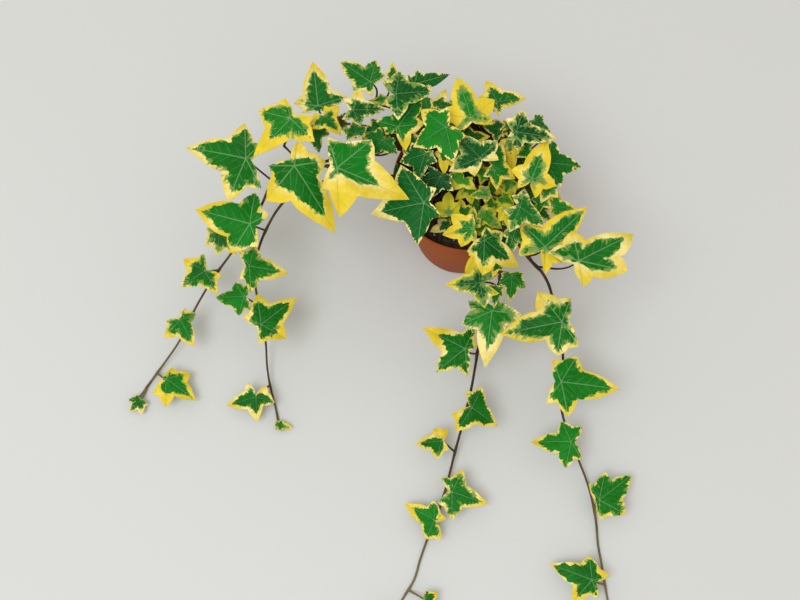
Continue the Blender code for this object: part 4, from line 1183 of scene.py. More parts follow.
def maths(tree, operation, *values):
    """A maths node's output."""
    inputs = dict(enumerate(values))
    return add_node(tree, "ShaderNodeMath", inputs, operation=operation).outputs[0]


def ramp(tree, value, low, high, start=0, end=1):
    """A value eased from one range to another."""
    inputs = {"Value": value, "From Min": low, "From Max": high, "To Min": start, "To Max": end}
    return add_node(tree, "ShaderNodeMapRange", inputs, interpolation_type="SMOOTHSTEP").outputs["Result"]


def mixed(tree, share, first, second, blend_type="MIX"):
    """Two colours mixed."""
    made = add_node(tree, "ShaderNodeMix", data_type="RGBA", blend_type=blend_type)
    for index, value in ((0, share), (6, first), (7, second)):
        if isinstance(value, bpy.types.NodeSocket):
            tree.links.new(value, made.inputs[index])
        else:
            made.inputs[index].default_value = (*value, 1) if isinstance(value, tuple) else value
    return made.outputs[2]


print("helpers for nodes and colours ready")

# %% [markdown]
# The real surfaces are never even, so most finishes start from a noise, a value stored on the mesh, or
# both. A noise around zero can be added to a value without making it larger on the whole.

# %% Patterns and groups
def noise_of(tree, vector, scale, detail, roughness=0.5):
    """Noise around zero."""
    inputs = {"Vector": vector, "Scale": scale, "Detail": detail, "Roughness": roughness}
    made = add_node(tree, "ShaderNodeTexNoise", inputs)
    return maths(tree, "SUBTRACT", made.outputs["Fac"], 0.5)


def attribute(tree, name, output="Fac"):
    """What the mesh stores under a name."""
    return add_node(tree, "ShaderNodeAttribute", attribute_name=name).outputs[output]


def new_group(name, outputs):
    """An empty node group with value outputs."""
    group = bpy.data.node_groups.new(name, "ShaderNodeTree")
    for output in outputs:
        group.interface.new_socket(output, in_out="OUTPUT", socket_type="NodeSocketFloat")
    return group


print("helpers for patterns and groups ready")

# %% [markdown]
# ## The tissue of a leaf
#
# Both faces of a blade show the same pattern, so it is one node group that each of their finishes uses.
# It reads the values stored on the blade and puts out masks: the green area with its torn edge, the
# grey-green tissue in and around it, the veins, and the relief. A mottle and a wash go out too, for the
# changes of tone within one leaf. The wash also paints the light and shade of a curled blade.
#
# The group begins with its coordinates. Side veins leave the rib at a slant, and the value branch follows
# this slant. Together with the distance from the rib it stretches the noise, because the green tears
# along the veins.

# %% Leaf tissue: places
SLANT = 1.15
STREAKS = (19, 7)
tissue = new_group("leaf_tissue", ("Green", "Grey", "Vein", "Mottle", "Wash", "Height"))
spot_in_mm = add_node(tissue, "ShaderNodeVectorMath", {
    0: attribute(tissue, "spot", "Vector"), 1: (1 / MM, 1 / MM, 1)}, operation="MULTIPLY").outputs[0]
rib_parts = add_node(tissue, "ShaderNodeSeparateXYZ", {0: attribute(tissue, "rib", "Vector")}).outputs
tone_parts = add_node(tissue, "ShaderNodeSeparateXYZ", {0: attribute(tissue, "tone", "Vector")}).outputs
spot_parts = add_node(tissue, "ShaderNodeSeparateXYZ", {0: spot_in_mm}).outputs
branch = maths(tissue, "SUBTRACT", rib_parts[0], maths(tissue, "MULTIPLY", rib_parts[1], SLANT))
streak_place = add_node(tissue, "ShaderNodeCombineXYZ", {
    0: maths(tissue, "MULTIPLY", branch, STREAKS[0]),
    1: maths(tissue, "MULTIPLY", rib_parts[1], STREAKS[1]), 2: spot_parts[2]}).outputs[0]
length_in_mm = maths(tissue, "MULTIPLY", rib_parts[2], 1 / MM)
leaf_place = add_node(tissue, "ShaderNodeCombineXYZ", {
    0: maths(tissue, "DIVIDE", spot_parts[0], length_in_mm),
    1: maths(tissue, "DIVIDE", spot_parts[1], length_in_mm), 2: spot_parts[2]}).outputs[0]
print("places on a leaf:", len(tissue.nodes), "nodes")

# %% [markdown]
# The green ends in a ragged edge, because it and the pale tissue lie in layers that stop at different
# places. A picture could show this for one leaf, but every leaf is torn in its own way, so the edge is
# worked out. The stored depth in the green is moved by three noises: a wide one as large as the leaf,
# streaks along the side veins, and a fine one. The green begins where the sum passes zero.

# %% Leaf tissue: green
WIDE_TEAR = 0.24
VEIN_TEAR = 5.5
FINE_TEAR = 1.8
GREEN_EDGE = (-0.45, 0.30)
field = maths(tissue, "MULTIPLY", attribute(tissue, "green"), 1 / MM)
wide_share = maths(tissue, "MULTIPLY", noise_of(tissue, leaf_place, 6, 1), WIDE_TEAR)
wide_tear = maths(tissue, "MULTIPLY", wide_share, length_in_mm)
vein_tear = maths(tissue, "MULTIPLY", noise_of(tissue, streak_place, 1, 2), VEIN_TEAR)
fine_tear = maths(tissue, "MULTIPLY", noise_of(tissue, spot_in_mm, 0.7, 3, 0.6), FINE_TEAR)
torn = maths(tissue, "ADD", field, wide_tear)
torn = maths(tissue, "ADD", torn, maths(tissue, "ADD", vein_tear, fine_tear))
green_mask = ramp(tissue, torn, *GREEN_EDGE)
print("with the torn green:", len(tissue.nodes), "nodes")

# %% [markdown]
# Where only one layer is green, the leaf is a pale grey-green. It lies in patches inside the green and as a
# narrow fringe beyond its edge. Both come from one level: the leaf's own share of grey with the same
# streaks.

# %% Leaf tissue: grey
GREY_SHARE = 0.42
MORE_GREY = 0.05
GREY_FADE = 0.05
GREY_PATCH_EDGE = (0.20, 0.27)
FRINGE_WIDTH = 9
FRINGE_EDGE = (0.9, 1.9)
grey_noise = maths(tissue, "ADD", noise_of(tissue, streak_place, 0.8, 3, 0.6),
                   noise_of(tissue, spot_in_mm, 0.22, 3, 0.6))
grey_noise = maths(tissue, "ADD", grey_noise, MORE_GREY)
grey_level = maths(tissue, "MULTIPLY_ADD", tone_parts[2], GREY_SHARE, grey_noise)
grey_inside = maths(tissue, "SUBTRACT", grey_level, maths(tissue, "MULTIPLY", torn, GREY_FADE))
grey_inside = maths(tissue, "MULTIPLY", ramp(tissue, grey_inside, *GREY_PATCH_EDGE), green_mask)
grey_reach = maths(tissue, "ADD", torn, maths(tissue, "MULTIPLY", grey_level, FRINGE_WIDTH))
grey_beyond = maths(tissue, "SUBTRACT", ramp(tissue, grey_reach, *FRINGE_EDGE), green_mask)
grey_mask = maths(tissue, "MAXIMUM", grey_inside, grey_beyond)
print("with the grey patches:", len(tissue.nodes), "nodes")

# %% [markdown]
# The ribs of an ivy leaf stand out pale. A rib is widest at the stalk and thins out towards its lobe's
# tip. The side veins are finer: they repeat along the rib and fade on their way to the edge. They could
# be modelled as ridges, but at this size a line in the colour and in the bump is enough.

# %% Leaf tissue: veins
RIB_WIDTHS = (0.016, 0.007)
RIB_MIDDLE = 0.003
RIB_TIP = 0.9
SIDE_VEINS = 6.5
SIDE_WIDTH = (0.012, 0.06)
SIDE_FADE = (0.05, 0.20)
SIDE_STRENGTH = (0.5, 0.05)
rib_width = ramp(tissue, rib_parts[0], 0, RIB_TIP, *RIB_WIDTHS)
rib_line = ramp(tissue, rib_parts[1], RIB_MIDDLE, rib_width, 1, 0)
side_phase = maths(tissue, "FRACT", maths(tissue, "MULTIPLY", branch, SIDE_VEINS))
side_gap = maths(tissue, "ABSOLUTE", maths(tissue, "SUBTRACT", side_phase, 0.5))
side_strength = ramp(tissue, rib_parts[1], *SIDE_FADE, *SIDE_STRENGTH)
side_line = maths(tissue, "MULTIPLY", ramp(tissue, side_gap, *SIDE_WIDTH, 1, 0), side_strength)
vein_mask = maths(tissue, "MAXIMUM", rib_line, side_line)
print("with the veins:", len(tissue.nodes), "nodes")

# %% [markdown]
# The skin between the veins is slightly puckered, which smooth cells draw, and the veins are sunk into it.
# The mottle changes the tone within a few millimetres. The wash does so over the whole leaf, partly as tone
# and partly as painted shading of a curled blade.

# %% Leaf tissue: relief and outputs
CELL_RELIEF = 0.25
VEIN_RELIEF = -0.6
cells = add_node(tissue, "ShaderNodeTexVoronoi", {"Vector": spot_in_mm, "Scale": 0.9},
                 feature="SMOOTH_F1").outputs["Distance"]
cell_relief = maths(tissue, "MULTIPLY", cells, CELL_RELIEF)
relief = maths(tissue, "ADD", cell_relief, maths(tissue, "MULTIPLY", vein_mask, VEIN_RELIEF))
mottle = noise_of(tissue, spot_in_mm, 0.35, 4, 0.65)
wash = noise_of(tissue, leaf_place, 2.6, 2)
group_end = add_node(tissue, "NodeGroupOutput")
for output, value in (("Green", green_mask), ("Grey", grey_mask), ("Vein", vein_mask), ("Mottle", mottle),
                      ("Wash", wash), ("Height", relief)):
    tissue.links.new(value, group_end.inputs[output])
print("leaf tissue:", len(tissue.nodes), "nodes")

# %% [markdown]
# ## The two faces of a leaf
#
# The green of the real leaf runs from a strong green to a deep blue-green, and its margin from yellow to
# cream. The blue-green here is darker than the real tone, so it also paints the shade on leaves deep in the
# crown. Every leaf has its own light, and none is even: the broad changes within a leaf are partly its own
# tone and partly painted shading of its curled blade. Each leaf could have a material of its own, but then
# there would be more than a hundred. One material does the same with the leaf's tones stored on the blade.

# %% Green and pale tissue
LEAF_LIGHTS = (0.78, 1.25)
GREEN_MOTTLE = 0.9
GREEN_WASH_AND_SHADE = 0.7
CREAM_MOTTLE = 0.9
CREAM_WASH = 1.6
CREAM_FROM_GREEN = (-9, 1)
CREAM_SHIFT = (-0.35, 0.25)
PALE_MOTTLE = 0.2
PALE_WASH_AND_SHADE = 0.55


def dimmed(tree, colour, light):
    """A colour made darker or lighter by a value."""
    grey = add_node(tree, "ShaderNodeCombineColor", {0: light, 1: light, 2: light}).outputs[0]
    return mixed(tree, 1.0, colour, grey, "MULTIPLY")


def green_tissue(tree, colours, tone, young, mottle, wash):
    """The green of a leaf: from green to blue-green or young green, with its own light and soft changes."""
    # The blue-green is darker than the real tone, so a high blue paints shade on a leaf in the crown.
    colour = mixed(tree, ramp(tree, tone[1], 0, 1), colours["green"], colours["blue_green_and_shade"])
    colour = mixed(tree, young, colour, colours["young_green"])
    seed = add_node(tree, "ShaderNodeSeparateXYZ", {0: attribute(tree, "spot", "Vector")}).outputs[2]
    light = add_node(tree, "ShaderNodeTexWhiteNoise", {"W": seed}, noise_dimensions="1D").outputs["Value"]
    light = ramp(tree, light, 0, 1, *LEAF_LIGHTS)
    light = maths(tree, "ADD", maths(tree, "MULTIPLY", mottle, GREEN_MOTTLE), light)
    # The wash lightens and darkens the green in broad patches: partly tone, partly painted shading of a curl.
    return dimmed(tree, colour, maths(tree, "MULTIPLY_ADD", wash, GREEN_WASH_AND_SHADE, light))


def pale_tissue(tree, colours, tone, young, mottle, wash):
    """The margin of a leaf: cream near the green, yellow further out, and lime on a young leaf."""
    inside_green = maths(tree, "MULTIPLY", attribute(tree, "green"), 1 / MM)
    cream = maths(tree, "ADD", tone[0], maths(tree, "MULTIPLY", mottle, CREAM_MOTTLE))
    cream = maths(tree, "ADD", cream, ramp(tree, inside_green, *CREAM_FROM_GREEN, *CREAM_SHIFT))
    cream = maths(tree, "MULTIPLY_ADD", wash, CREAM_WASH, cream)
    colour = mixed(tree, ramp(tree, cream, 0, 1), colours["yellow"], colours["cream"])
    colour = mixed(tree, young, colour, colours["lime"])
    light = maths(tree, "MULTIPLY_ADD", mottle, PALE_MOTTLE, 1)
    # The wash lightens and darkens the margin in broad patches: partly tone, partly painted shading of a
    # curl.
    return dimmed(tree, colour, maths(tree, "MULTIPLY_ADD", wash, PALE_WASH_AND_SHADE, light))


print("green and pale tissue ready")

# %% [markdown]
# The upper face is slightly satin and strongly coloured. The underside is paler, greyer and matt, with
# its veins raised. One function builds both. It lays the green, then the grey patches and then the veins
# over the pale tissue, each by its mask.

# %% Leaf finish
GREY_COVER = 0.85
VEIN_COVER = (0.25, 0.6)
ROUGH_MOTTLE = 0.25
LEAF_BUMP = 0.8
LEAF_SHINE = 0.10


def leaf_finish(name, colours, roughness, relief_height):
    """A leaf face's material, from its colours and the tissue group."""
    made = bpy.data.materials.new(name)
    made.use_nodes = True
    tree = made.node_tree
    shader = tree.nodes["Principled BSDF"]
    pattern = add_node(tree, "ShaderNodeGroup", node_tree=tissue).outputs
    mottle = pattern["Mottle"]
    tone = add_node(tree, "ShaderNodeSeparateXYZ", {0: attribute(tree, "tone", "Vector")}).outputs
    young = ramp(tree, tone[1], -1, 0, 1, 0)
    leaf_green = green_tissue(tree, colours, tone, young, mottle, pattern["Wash"])
    pale = pale_tissue(tree, colours, tone, young, mottle, pattern["Wash"])
    surface = mixed(tree, pattern["Green"], pale, leaf_green)
    grey_share = maths(tree, "MULTIPLY", pattern["Grey"], GREY_COVER)
    surface = mixed(tree, grey_share, surface, colours["grey_green"])
    vein_colour = mixed(tree, pattern["Green"], colours["pale_vein"], colours["vein"])
    vein_share = maths(tree, "MULTIPLY", pattern["Vein"], ramp(tree, pattern["Green"], 0, 1, *VEIN_COVER))
    surface = mixed(tree, vein_share, surface, vein_colour)
    tree.links.new(surface, shader.inputs["Base Color"])
    rough = maths(tree, "ADD", maths(tree, "MULTIPLY", mottle, ROUGH_MOTTLE), roughness)
    tree.links.new(rough, shader.inputs["Roughness"])
    bump = add_node(tree, "ShaderNodeBump", {
        "Height": pattern["Height"], "Distance": relief_height, "Strength": LEAF_BUMP})
    tree.links.new(bump.outputs["Normal"], shader.inputs["Normal"])
    shader.inputs["Specular IOR Level"].default_value = LEAF_SHINE
    return made


print("leaf finish ready")

# %% [markdown]
# These are the colours of the two faces. A negative relief turns the same pattern outwards, so the veins
# that are sunk into the upper face stand up from the underside.

# %% Colours of the leaves
# On both faces the blue-green is darker than the real tone, so it also paints shade deep in the crown.
UPPER_COLOURS = {
    "green": (0.006, 0.154, 0.008),
    "blue_green_and_shade": (0.003, 0.078, 0.012),
    "young_green": (0.045, 0.23, 0.004),
    "grey_green": (0.19, 0.31, 0.065),
    "yellow": (0.76, 0.57, 0.030),
    "cream": (0.84, 0.71, 0.28),
    "lime": (0.50, 0.47, 0.020),
    "vein": (0.23, 0.43, 0.18),
    "pale_vein": (0.66, 0.62, 0.10),
}
UPPER_ROUGHNESS = 0.50
UPPER_RELIEF = 0.0006
UNDER_COLOURS = {
    "green": (0.10, 0.24, 0.075),
    "blue_green_and_shade": (0.10, 0.21, 0.10),
    "young_green": (0.16, 0.30, 0.06),
    "grey_green": (0.24, 0.34, 0.17),
    "yellow": (0.70, 0.58, 0.15),
    "cream": (0.80, 0.72, 0.38),
    "lime": (0.50, 0.50, 0.12),
    "vein": (0.30, 0.42, 0.20),
    "pale_vein": (0.60, 0.58, 0.22),
}
UNDER_ROUGHNESS = 0.60
UNDER_RELIEF = -0.0004
leaf_top = leaf_finish("leaf_upper_face", UPPER_COLOURS, UPPER_ROUGHNESS, UPPER_RELIEF)
leaf_under = leaf_finish("leaf_underside", UNDER_COLOURS, UNDER_ROUGHNESS, UNDER_RELIEF)
print("leaf finishes made:", leaf_top.name, "and", leaf_under.name)

# %% [markdown]
# ## Stem and stalk finishes
#
# Old ivy stems are a dark brown, and the young ends are lighter and greener. The age could be stored on
# each stem, as the tones are on the leaves. But every stem starts in the pot, so the distance from it
# stands for age just as well and needs no more data. Patches of noise break up the change, and others
# redden the skin here and there. A fine bump makes it a little rough.

# %% Stem finishes
AGE_PATCHES = 0.12
YOUNG_FROM = (0.14, 0.35)
FLUSH_EDGE = (0.0, 0.2)
FLUSH_COVER = 0.7
STEM_ROUGHNESS = 0.55
STEM_SHINE = 0.12


def stem_finish(name, old, young, flush):
    """A stem's material: old near the pot, young far from it, flushed in patches."""
    made = bpy.data.materials.new(name)
    made.use_nodes = True
    tree = made.node_tree
    shader = tree.nodes["Principled BSDF"]
    place = add_node(tree, "ShaderNodeTexCoord").outputs["Object"]
    distance = add_node(tree, "ShaderNodeVectorMath", {0: place}, operation="LENGTH").outputs["Value"]
    patches = noise_of(tree, place, 60, 3)
    age = maths(tree, "ADD", distance, maths(tree, "MULTIPLY", patches, AGE_PATCHES))
    colour = mixed(tree, ramp(tree, age, *YOUNG_FROM), old, young)
    flushed = ramp(tree, noise_of(tree, place, 95, 2), *FLUSH_EDGE, 0, FLUSH_COVER)
    tree.links.new(mixed(tree, flushed, colour, flush), shader.inputs["Base Color"])
    bump = add_node(tree, "ShaderNodeBump", {
        "Height": noise_of(tree, place, 1400, 3), "Distance": 0.0003, "Strength": 0.5})
    tree.links.new(bump.outputs["Normal"], shader.inputs["Normal"])
    shader.inputs["Roughness"].default_value = STEM_ROUGHNESS
    shader.inputs["Specular IOR Level"].default_value = STEM_SHINE
    return made


stem_bark = stem_finish("stem_bark", (0.038, 0.026, 0.012), (0.185, 0.145, 0.055), (0.110, 0.040, 0.022))
stalk_skin = stem_finish("stalk_skin", (0.070, 0.038, 0.018), (0.19, 0.125, 0.050), (0.13, 0.040, 0.022))
print("stem finishes made:", stem_bark.name, "and", stalk_skin.name)

# %% [markdown]
# ## The vines
#
# Every piece rides on the one body of the plant and takes the place of a solid. Two helpers do this for all
# of them: one puts a finished mesh in the scene, the other applies an object's modifiers and keeps its
# mesh.

# %% Placing pieces
def place_piece(name, mesh, node):
    """Put a finished mesh in the scene, on the body of the part, in place of a CAD node."""
    piece = bpy.data.objects.new(name, mesh)
    bpy.context.scene.collection.objects.link(piece)
    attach(piece, "root")
    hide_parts(node)
    return piece


def applied(obj):
    """An object's mesh with its modifiers applied. The object itself is removed."""
    bpy.context.scene.collection.objects.link(obj)
    bpy.context.view_layer.update()
    graph = bpy.context.evaluated_depsgraph_get()
    mesh = bpy.data.meshes.new_from_object(obj.evaluated_get(graph))
    bpy.data.objects.remove(obj)
    return mesh


print("helpers for pieces ready")

# %% [markdown]
# The blades of a vine are one mesh. Their underside could be modelled as a second sheet, but a Solidify
# modifier gives the blades their thickness and closes their edges in one step. It puts the second
# material on the inner shell, which is the underside. Small young leaves need fewer rays and rings.

# %% Blades of a vine
BLADE_FINE_THICK = 0.00055
BLADE_SHARP = math.radians(50)


def leaf_mesh(name, found):
    """All blades of a vine, each closed and with two faces."""
    work = new_sheet()
    for blade, _, _ in found:
        small = blade.length < SMALL_LEAF
        steps, rings = (SMALL_STEPS, SMALL_RINGS) if small else (LARGE_STEPS, LARGE_RINGS)
        add_fine_blade(work, blade, look_of(blade.name), steps, rings)
    mesh = bpy.data.meshes.new(name)
    work.to_mesh(mesh)
    work.free()
    mesh.materials.append(leaf_top)
    mesh.materials.append(leaf_under)
    obj = bpy.data.objects.new(name, mesh)
    shell = obj.modifiers.new("Thickness", "SOLIDIFY")
    shell.thickness = BLADE_FINE_THICK
    shell.offset = 0
    shell.material_offset = 1
    mesh = applied(obj)
    mesh.name = name
    mesh.shade_smooth()
    mesh.set_sharp_from_angle(angle=BLADE_SHARP)
    return mesh


print(f"fine blades will be {BLADE_FINE_THICK / MM:.2f} mm thick")

# %% [markdown]
# The stem of a vine and its leaf stalks are another mesh. Rings could be bridged along the route, but a
# curve with a round bevel does this by itself and takes a radius for each point. The stem tapers to its
# tip and is thicker where a leaf joins, and each stalk tapers towards its blade.

# %% Stems of a vine
FINE_STEP = 0.004
BEVEL_STEPS = 3
NODE_SWELL = 0.35
NODE_REACH = 0.004
STALK_FINE_BENDS = 10
FINE_STALK_RADIUS = 0.00075
STALK_FOOT = 1.25
STALK_TAPER = 0.45


def add_spline(curve, points, radii, material_index):
    """Add a round run along points to a curve."""
    spline = curve.splines.new("POLY")
    spline.points.add(len(points) - 1)
    spline.material_index = material_index
    for spot, point, radius in zip(spline.points, points, radii):
        spot.co = (*point, 1)
        spot.radius = radius


def stem_mesh(name, found):
    """A vine's stem and stalks, round and tapered, with a swelling at each leaf."""
    curve = bpy.data.curves.new(name, "CURVE")
    curve.dimensions = "3D"
    curve.bevel_depth = 1
    curve.bevel_resolution = BEVEL_STEPS
    curve.use_fill_caps = True
    points = stem_points(VINES[name][0], FINE_STEP)
    radii = []
    for i, point in enumerate(points):
        radius = STEM_RADIUS + (STEM_TIP_RADIUS - STEM_RADIUS) * i / (len(points) - 1)
        near = min((start - point).length for _, start, _ in found)
        radii.append(radius * (1 + NODE_SWELL * math.exp(-(near / NODE_REACH) ** 2)))
    add_spline(curve, points, radii, 0)
    for blade, start, bow in found:
        route = stalk_points(blade, start, bow, STALK_FINE_BENDS)
        widths = []
        for i in range(len(route)):
            widths.append(FINE_STALK_RADIUS * (STALK_FOOT - STALK_TAPER * i / STALK_FINE_BENDS))
        add_spline(curve, route, widths, 1)
    mesh = applied(bpy.data.objects.new(name, curve))
    mesh.name = name + "_stem"
    mesh.materials.clear()
    mesh.materials.append(stem_bark)
    mesh.materials.append(stalk_skin)
    mesh.shade_smooth()
    return mesh


print(f"a stem swells by {NODE_SWELL:.0%} where a leaf joins")

# %% [markdown]
# Each vine in the frame now gets its two pieces, at the very place of its solid.

# %% Vine pieces
triangles = 0
for name, found in leaves.items():
    blades = place_piece(name + "_leaves", leaf_mesh(name, found), name)
    place_piece(name + "_stems", stem_mesh(name, found), name)
    triangles += sum(len(face.vertices) - 2 for face in blades.data.polygons)
print(len(leaves), "vines made, with", triangles, "triangles in their leaves")

# %% [markdown]
# ## The pot
#
# The real pot is moulded from thin plastic, matt and clay-coloured. A plain material with these values
# would look new and dead, so a soft bloom of dust changes its colour and makes it a little rougher in
# places. A very fine grain breaks up its shine.

# %% Pot finish
POT_COLOUR = (0.285, 0.060, 0.007)
DUSTY_COLOUR = (0.350, 0.080, 0.013)
BLOOM_EDGE = (-0.25, 0.3)
POT_ROUGHNESS = 0.6
BLOOM_ROUGH = 0.3
POT_SHINE = 0.12


def pot_finish():
    """Matt brown plastic with a faint grain and a dusty bloom."""
    made = bpy.data.materials.new("pot_plastic")
    made.use_nodes = True
    tree = made.node_tree
    shader = tree.nodes["Principled BSDF"]
    place = add_node(tree, "ShaderNodeTexCoord").outputs["Object"]
    bloom = noise_of(tree, place, 28, 4, 0.6)
    grain = noise_of(tree, place, 2600, 2)
    colour = mixed(tree, ramp(tree, bloom, *BLOOM_EDGE), POT_COLOUR, DUSTY_COLOUR)
    tree.links.new(colour, shader.inputs["Base Color"])
    rough = maths(tree, "ADD", maths(tree, "MULTIPLY", bloom, BLOOM_ROUGH), POT_ROUGHNESS)
    tree.links.new(rough, shader.inputs["Roughness"])
    shader.inputs["Specular IOR Level"].default_value = POT_SHINE
    bump = add_node(tree, "ShaderNodeBump", {"Height": grain, "Distance": 0.0001, "Strength": 0.25})
    tree.links.new(bump.outputs["Normal"], shader.inputs["Normal"])
    return made


print("pot finish ready")

# %% [markdown]
# A pot could start as a cylinder that is scaled, inset and pushed in. But a turned shape only needs its
# section: a rounded lip, a straight wall, a flat foot with a soft edge, and the inside. It is spun about
# the upright axis. The doubles are then merged, both where the turn closes and where every step of the
# spin meets on the axis.

# %% Pot section
POT_HEIGHT = 0.105
RIM_RADIUS = 0.060
FOOT_RADIUS = 0.039
WALL = 0.0018
FLOOR_THICK = 0.0025
LIP_ROUND = 0.0009
LIP_STEPS = 6
FOOT_EDGE = ((0.0006, 0.0012), (0.0003, 0.0004), (-0.0006, 0))
INSIDE_BEVEL = 0.002


def pot_section():
    """The pot's section: down its outside from the lip, across its foot and up its inside."""
    lip_centre = (RIM_RADIUS - LIP_ROUND, POT_HEIGHT - LIP_ROUND)
    lip = []
    for i in range(LIP_STEPS + 1):
        turn = math.pi * (1 - i / LIP_STEPS)
        lip.append((lip_centre[0] + LIP_ROUND * math.cos(turn), lip_centre[1] + LIP_ROUND * math.sin(turn)))
    foot = [(FOOT_RADIUS + out, height) for out, height in FOOT_EDGE]
    inside_radius = FOOT_RADIUS - WALL
    inside = [(0, 0), (0, FLOOR_THICK), (inside_radius - INSIDE_BEVEL, FLOOR_THICK),
              (inside_radius, FLOOR_THICK + INSIDE_BEVEL)]
    return lip + foot + inside


def spun(section, steps):
    """A closed shape turned about the upright axis."""
    work = bmesh.new()
    verts = [work.verts.new((radius, 0, height)) for radius, height in section]
    edges = [work.edges.new(pair) for pair in zip(verts, verts[1:] + verts[:1])]
    bmesh.ops.spin(work, geom=verts + edges, cent=(0, 0, 0), axis=(0, 0, 1), angle=math.tau, steps=steps,
                   use_merge=True)
    bmesh.ops.remove_doubles(work, verts=work.verts, dist=MERGE_DISTANCE)
    loose = [edge for edge in work.edges if not edge.link_faces]
    bmesh.ops.delete(work, geom=loose, context="EDGES")
    bmesh.ops.recalc_face_normals(work, faces=work.faces)
    return work


print("points in the pot's section:", len(pot_section()))

# %% [markdown]
# The drain holes are moulded through the real pot's foot. They could be cut from its faces with the
# knife, but a spun foot is all thin wedges. So six pegs cut them with a Boolean, all in one mesh, so that
# one cut is enough.

# %% Pot
POT_STEPS = 144
POT_SHARP = math.radians(35)
DRAIN_RADIUS = 0.0035
DRAIN_RING = 0.026
DRAIN_COUNT = 6
PEG_SIDES = 32
PEG_LENGTH = 0.02


def drain_pegs():
    """The pegs that cut the drain holes, in one mesh."""
    work = bmesh.new()
    for i in range(DRAIN_COUNT):
        turn = math.tau * i / DRAIN_COUNT
        place = Matrix.Translation((math.cos(turn) * DRAIN_RING, math.sin(turn) * DRAIN_RING, 0))
        bmesh.ops.create_cone(work, cap_ends=True, segments=PEG_SIDES, radius1=DRAIN_RADIUS,
                              radius2=DRAIN_RADIUS, depth=PEG_LENGTH, matrix=place)
    mesh = bpy.data.meshes.new("drain_pegs")
    work.to_mesh(mesh)
    work.free()
    pegs = bpy.data.objects.new("drain_pegs", mesh)
    bpy.context.scene.collection.objects.link(pegs)
    return pegs


work = spun(pot_section(), POT_STEPS)
pot_mesh = bpy.data.meshes.new("pot_shell")
work.to_mesh(pot_mesh)
work.free()
pot_mesh.materials.append(pot_finish())
pegs = drain_pegs()
shell = bpy.data.objects.new("pot_shell", pot_mesh)
cut = shell.modifiers.new("Drain", "BOOLEAN")
cut.operation = "DIFFERENCE"
cut.object = pegs
pot_mesh = applied(shell)
bpy.data.objects.remove(pegs)
pot_mesh.shade_smooth()
pot_mesh.set_sharp_from_angle(angle=POT_SHARP)
place_piece("pot_shell", pot_mesh, "pot")
print("pot:", len(pot_mesh.polygons), "faces")

# %% [markdown]
# ## The soil
#
# Potting mix is dark, loose and uneven: mostly peat, with bits of bark and a few white grains of perlite.
# One noise for all three would make them one mass, so each kind has its own two colours. One function
# makes the finish of all, a matt material that changes between them.

# %% Soil finish
LUMP_EDGE = (-0.1, 0.25)


def soil_finish(name, dark, light, roughness):
    """A crumbly, matt material between two colours."""
    made = bpy.data.materials.new(name)
    made.use_nodes = True
    tree = made.node_tree
    shader = tree.nodes["Principled BSDF"]
    place = add_node(tree, "ShaderNodeTexCoord").outputs["Object"]
    lumps = noise_of(tree, place, 420, 4, 0.7)
    tree.links.new(mixed(tree, ramp(tree, lumps, *LUMP_EDGE), dark, light), shader.inputs["Base Color"])
    bump = add_node(tree, "ShaderNodeBump", {
        "Height": noise_of(tree, place, 900, 4, 0.7), "Distance": 0.001, "Strength": 0.9})
    tree.links.new(bump.outputs["Normal"], shader.inputs["Normal"])
    shader.inputs["Roughness"].default_value = roughness
    return made


earth = soil_finish("peat", (0.012, 0.008, 0.005), (0.090, 0.058, 0.030), 0.95)
bark = soil_finish("bark_crumbs", (0.040, 0.022, 0.012), (0.14, 0.085, 0.048), 0.9)
perlite = soil_finish("perlite", (0.50, 0.48, 0.44), (0.75, 0.73, 0.69), 0.8)
print("soil finishes made:", earth.name, bark.name, "and", perlite.name)

# %% [markdown]
# The bed of the soil could be a plain disc with a bump, but its top is seen from close by at a slant,
# where a bump looks flat. So it is spun like the pot, and its top is slightly domed and roughened with
# noise. Both fade out at the wall, where the soil meets the pot in an even line. Its hidden lower edge is
# let into the wall a little.

# %% Soil bed
SOIL_GAP = 0.0003
SOIL_RINGS = 26
SOIL_STEPS = 120
SOIL_ROUGH = 0.0012
SOIL_SPREAD = 0.002
CROWN_FALL = 0.8
LUMP_SCALE = 160
LUMP_FRACTAL = (0.8, 2.1, 3)
LUMP_MIDDLE = 0.6
EDGE_POWER = 8
soil_inside = FOOT_RADIUS - WALL - SOIL_GAP
soil_low = FLOOR_THICK + SOIL_GAP
soil_taper = (RIM_RADIUS - FOOT_RADIUS) / (POT_HEIGHT - FLOOR_THICK)
soil_radius = soil_inside + soil_taper * (SOIL_TOP - soil_low)


def soil_height(x, y):
    """The height of the soil's rough top at a place."""
    out = math.hypot(x, y) / soil_radius
    crown = SOIL_CROWN * (1 - CROWN_FALL * out * out)
    lumps = noise.fractal(Vector((x, y, 0)) * LUMP_SCALE, *LUMP_FRACTAL)
    return SOIL_TOP + (crown + SOIL_ROUGH * (lumps - LUMP_MIDDLE)) * (1 - out ** EDGE_POWER)


section = [(soil_radius * i / SOIL_RINGS, SOIL_TOP) for i in range(SOIL_RINGS + 1)]
section += [(soil_inside + SOIL_SPREAD, soil_low), (0, soil_low)]
work = spun(section, SOIL_STEPS)
for vert in work.verts:
    if vert.co.z > SOIL_TOP - MM:
        vert.co.z = soil_height(vert.co.x, vert.co.y)
soil_mesh = bpy.data.meshes.new("soil_bed")
work.to_mesh(soil_mesh)
work.free()
soil_mesh.materials.append(earth)
soil_mesh.shade_smooth()
place_piece("soil_bed", soil_mesh, "soil")
print("soil bed:", len(soil_mesh.polygons), "faces")

# %% [markdown]
# Loose crumbs of peat and bark and the grains of perlite lie on the bed. Particles could scatter one
# shape, but then all would look alike. Here each is a small ball, knocked out of round, stretched, turned
# and sunk in a little, and a seeded draw places it.

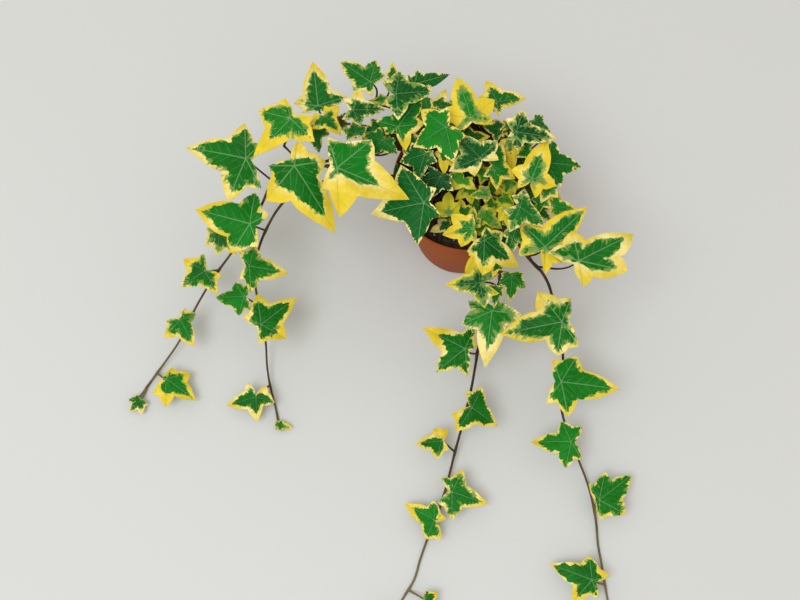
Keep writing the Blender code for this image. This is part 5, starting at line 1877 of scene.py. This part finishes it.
# %% Crumbs
CRUMB_SIZES = (0.6, 1)
CRUMB_DENTS = (0.7, 1.15)
CRUMB_LENGTHS = (0.8, 1.6)
CRUMB_HEIGHTS = (0.5, 0.9)
CRUMB_TILTS = (-0.6, 0.6)
CRUMB_RISE = 0.25
CRUMBS = [
    ("soil_crumbs", 1500, (0.0006, 0.0020), 3, earth),
    ("bark_bits", 260, (0.0008, 0.0026), 4, bark),
    ("perlite_grains", 60, (0.0006, 0.0013), 5, perlite),
]


def crumb_mesh(name, count, sizes, seed, finish):
    """Loose crumbs on the soil: balls knocked out of round, each turned and sunk in a little."""
    draw = random.Random(seed)
    work = bmesh.new()
    for _ in range(count):
        size = draw.uniform(*sizes) * draw.uniform(*CRUMB_SIZES)
        out = (soil_radius - 2 * size) * math.sqrt(draw.random())
        turn = draw.uniform(0, math.tau)
        x, y = out * math.cos(turn), out * math.sin(turn)
        ball = bmesh.ops.create_icosphere(work, subdivisions=1, radius=size)["verts"]
        for vert in ball:
            vert.co *= draw.uniform(*CRUMB_DENTS)
        stretch = Matrix.Diagonal((draw.uniform(*CRUMB_LENGTHS), 1, draw.uniform(*CRUMB_HEIGHTS), 1))
        spin = Matrix.Rotation(draw.uniform(0, math.tau), 4, "Z")
        tilt = Matrix.Rotation(draw.uniform(*CRUMB_TILTS), 4, "X")
        place = Matrix.Translation((x, y, soil_height(x, y) + CRUMB_RISE * size))
        bmesh.ops.transform(work, matrix=place @ (spin @ tilt) @ stretch, verts=ball)
    mesh = bpy.data.meshes.new(name)
    work.to_mesh(mesh)
    work.free()
    mesh.materials.append(finish)
    return mesh


for name, count, sizes, seed, finish in CRUMBS:
    place_piece(name, crumb_mesh(name, count, sizes, seed, finish), "soil")
    print(name, "laid on the soil:", count)

# %% [markdown]
# ## Size
#
# The dressed plant has to keep the size of its solids, so both boxes are printed.

# %% Size
dressed_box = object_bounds()
for label, corners in (("solids", cad_box), ("dressed", dressed_box)):
    print(label, [round(b - a, 4) for a, b in zip(*corners)])
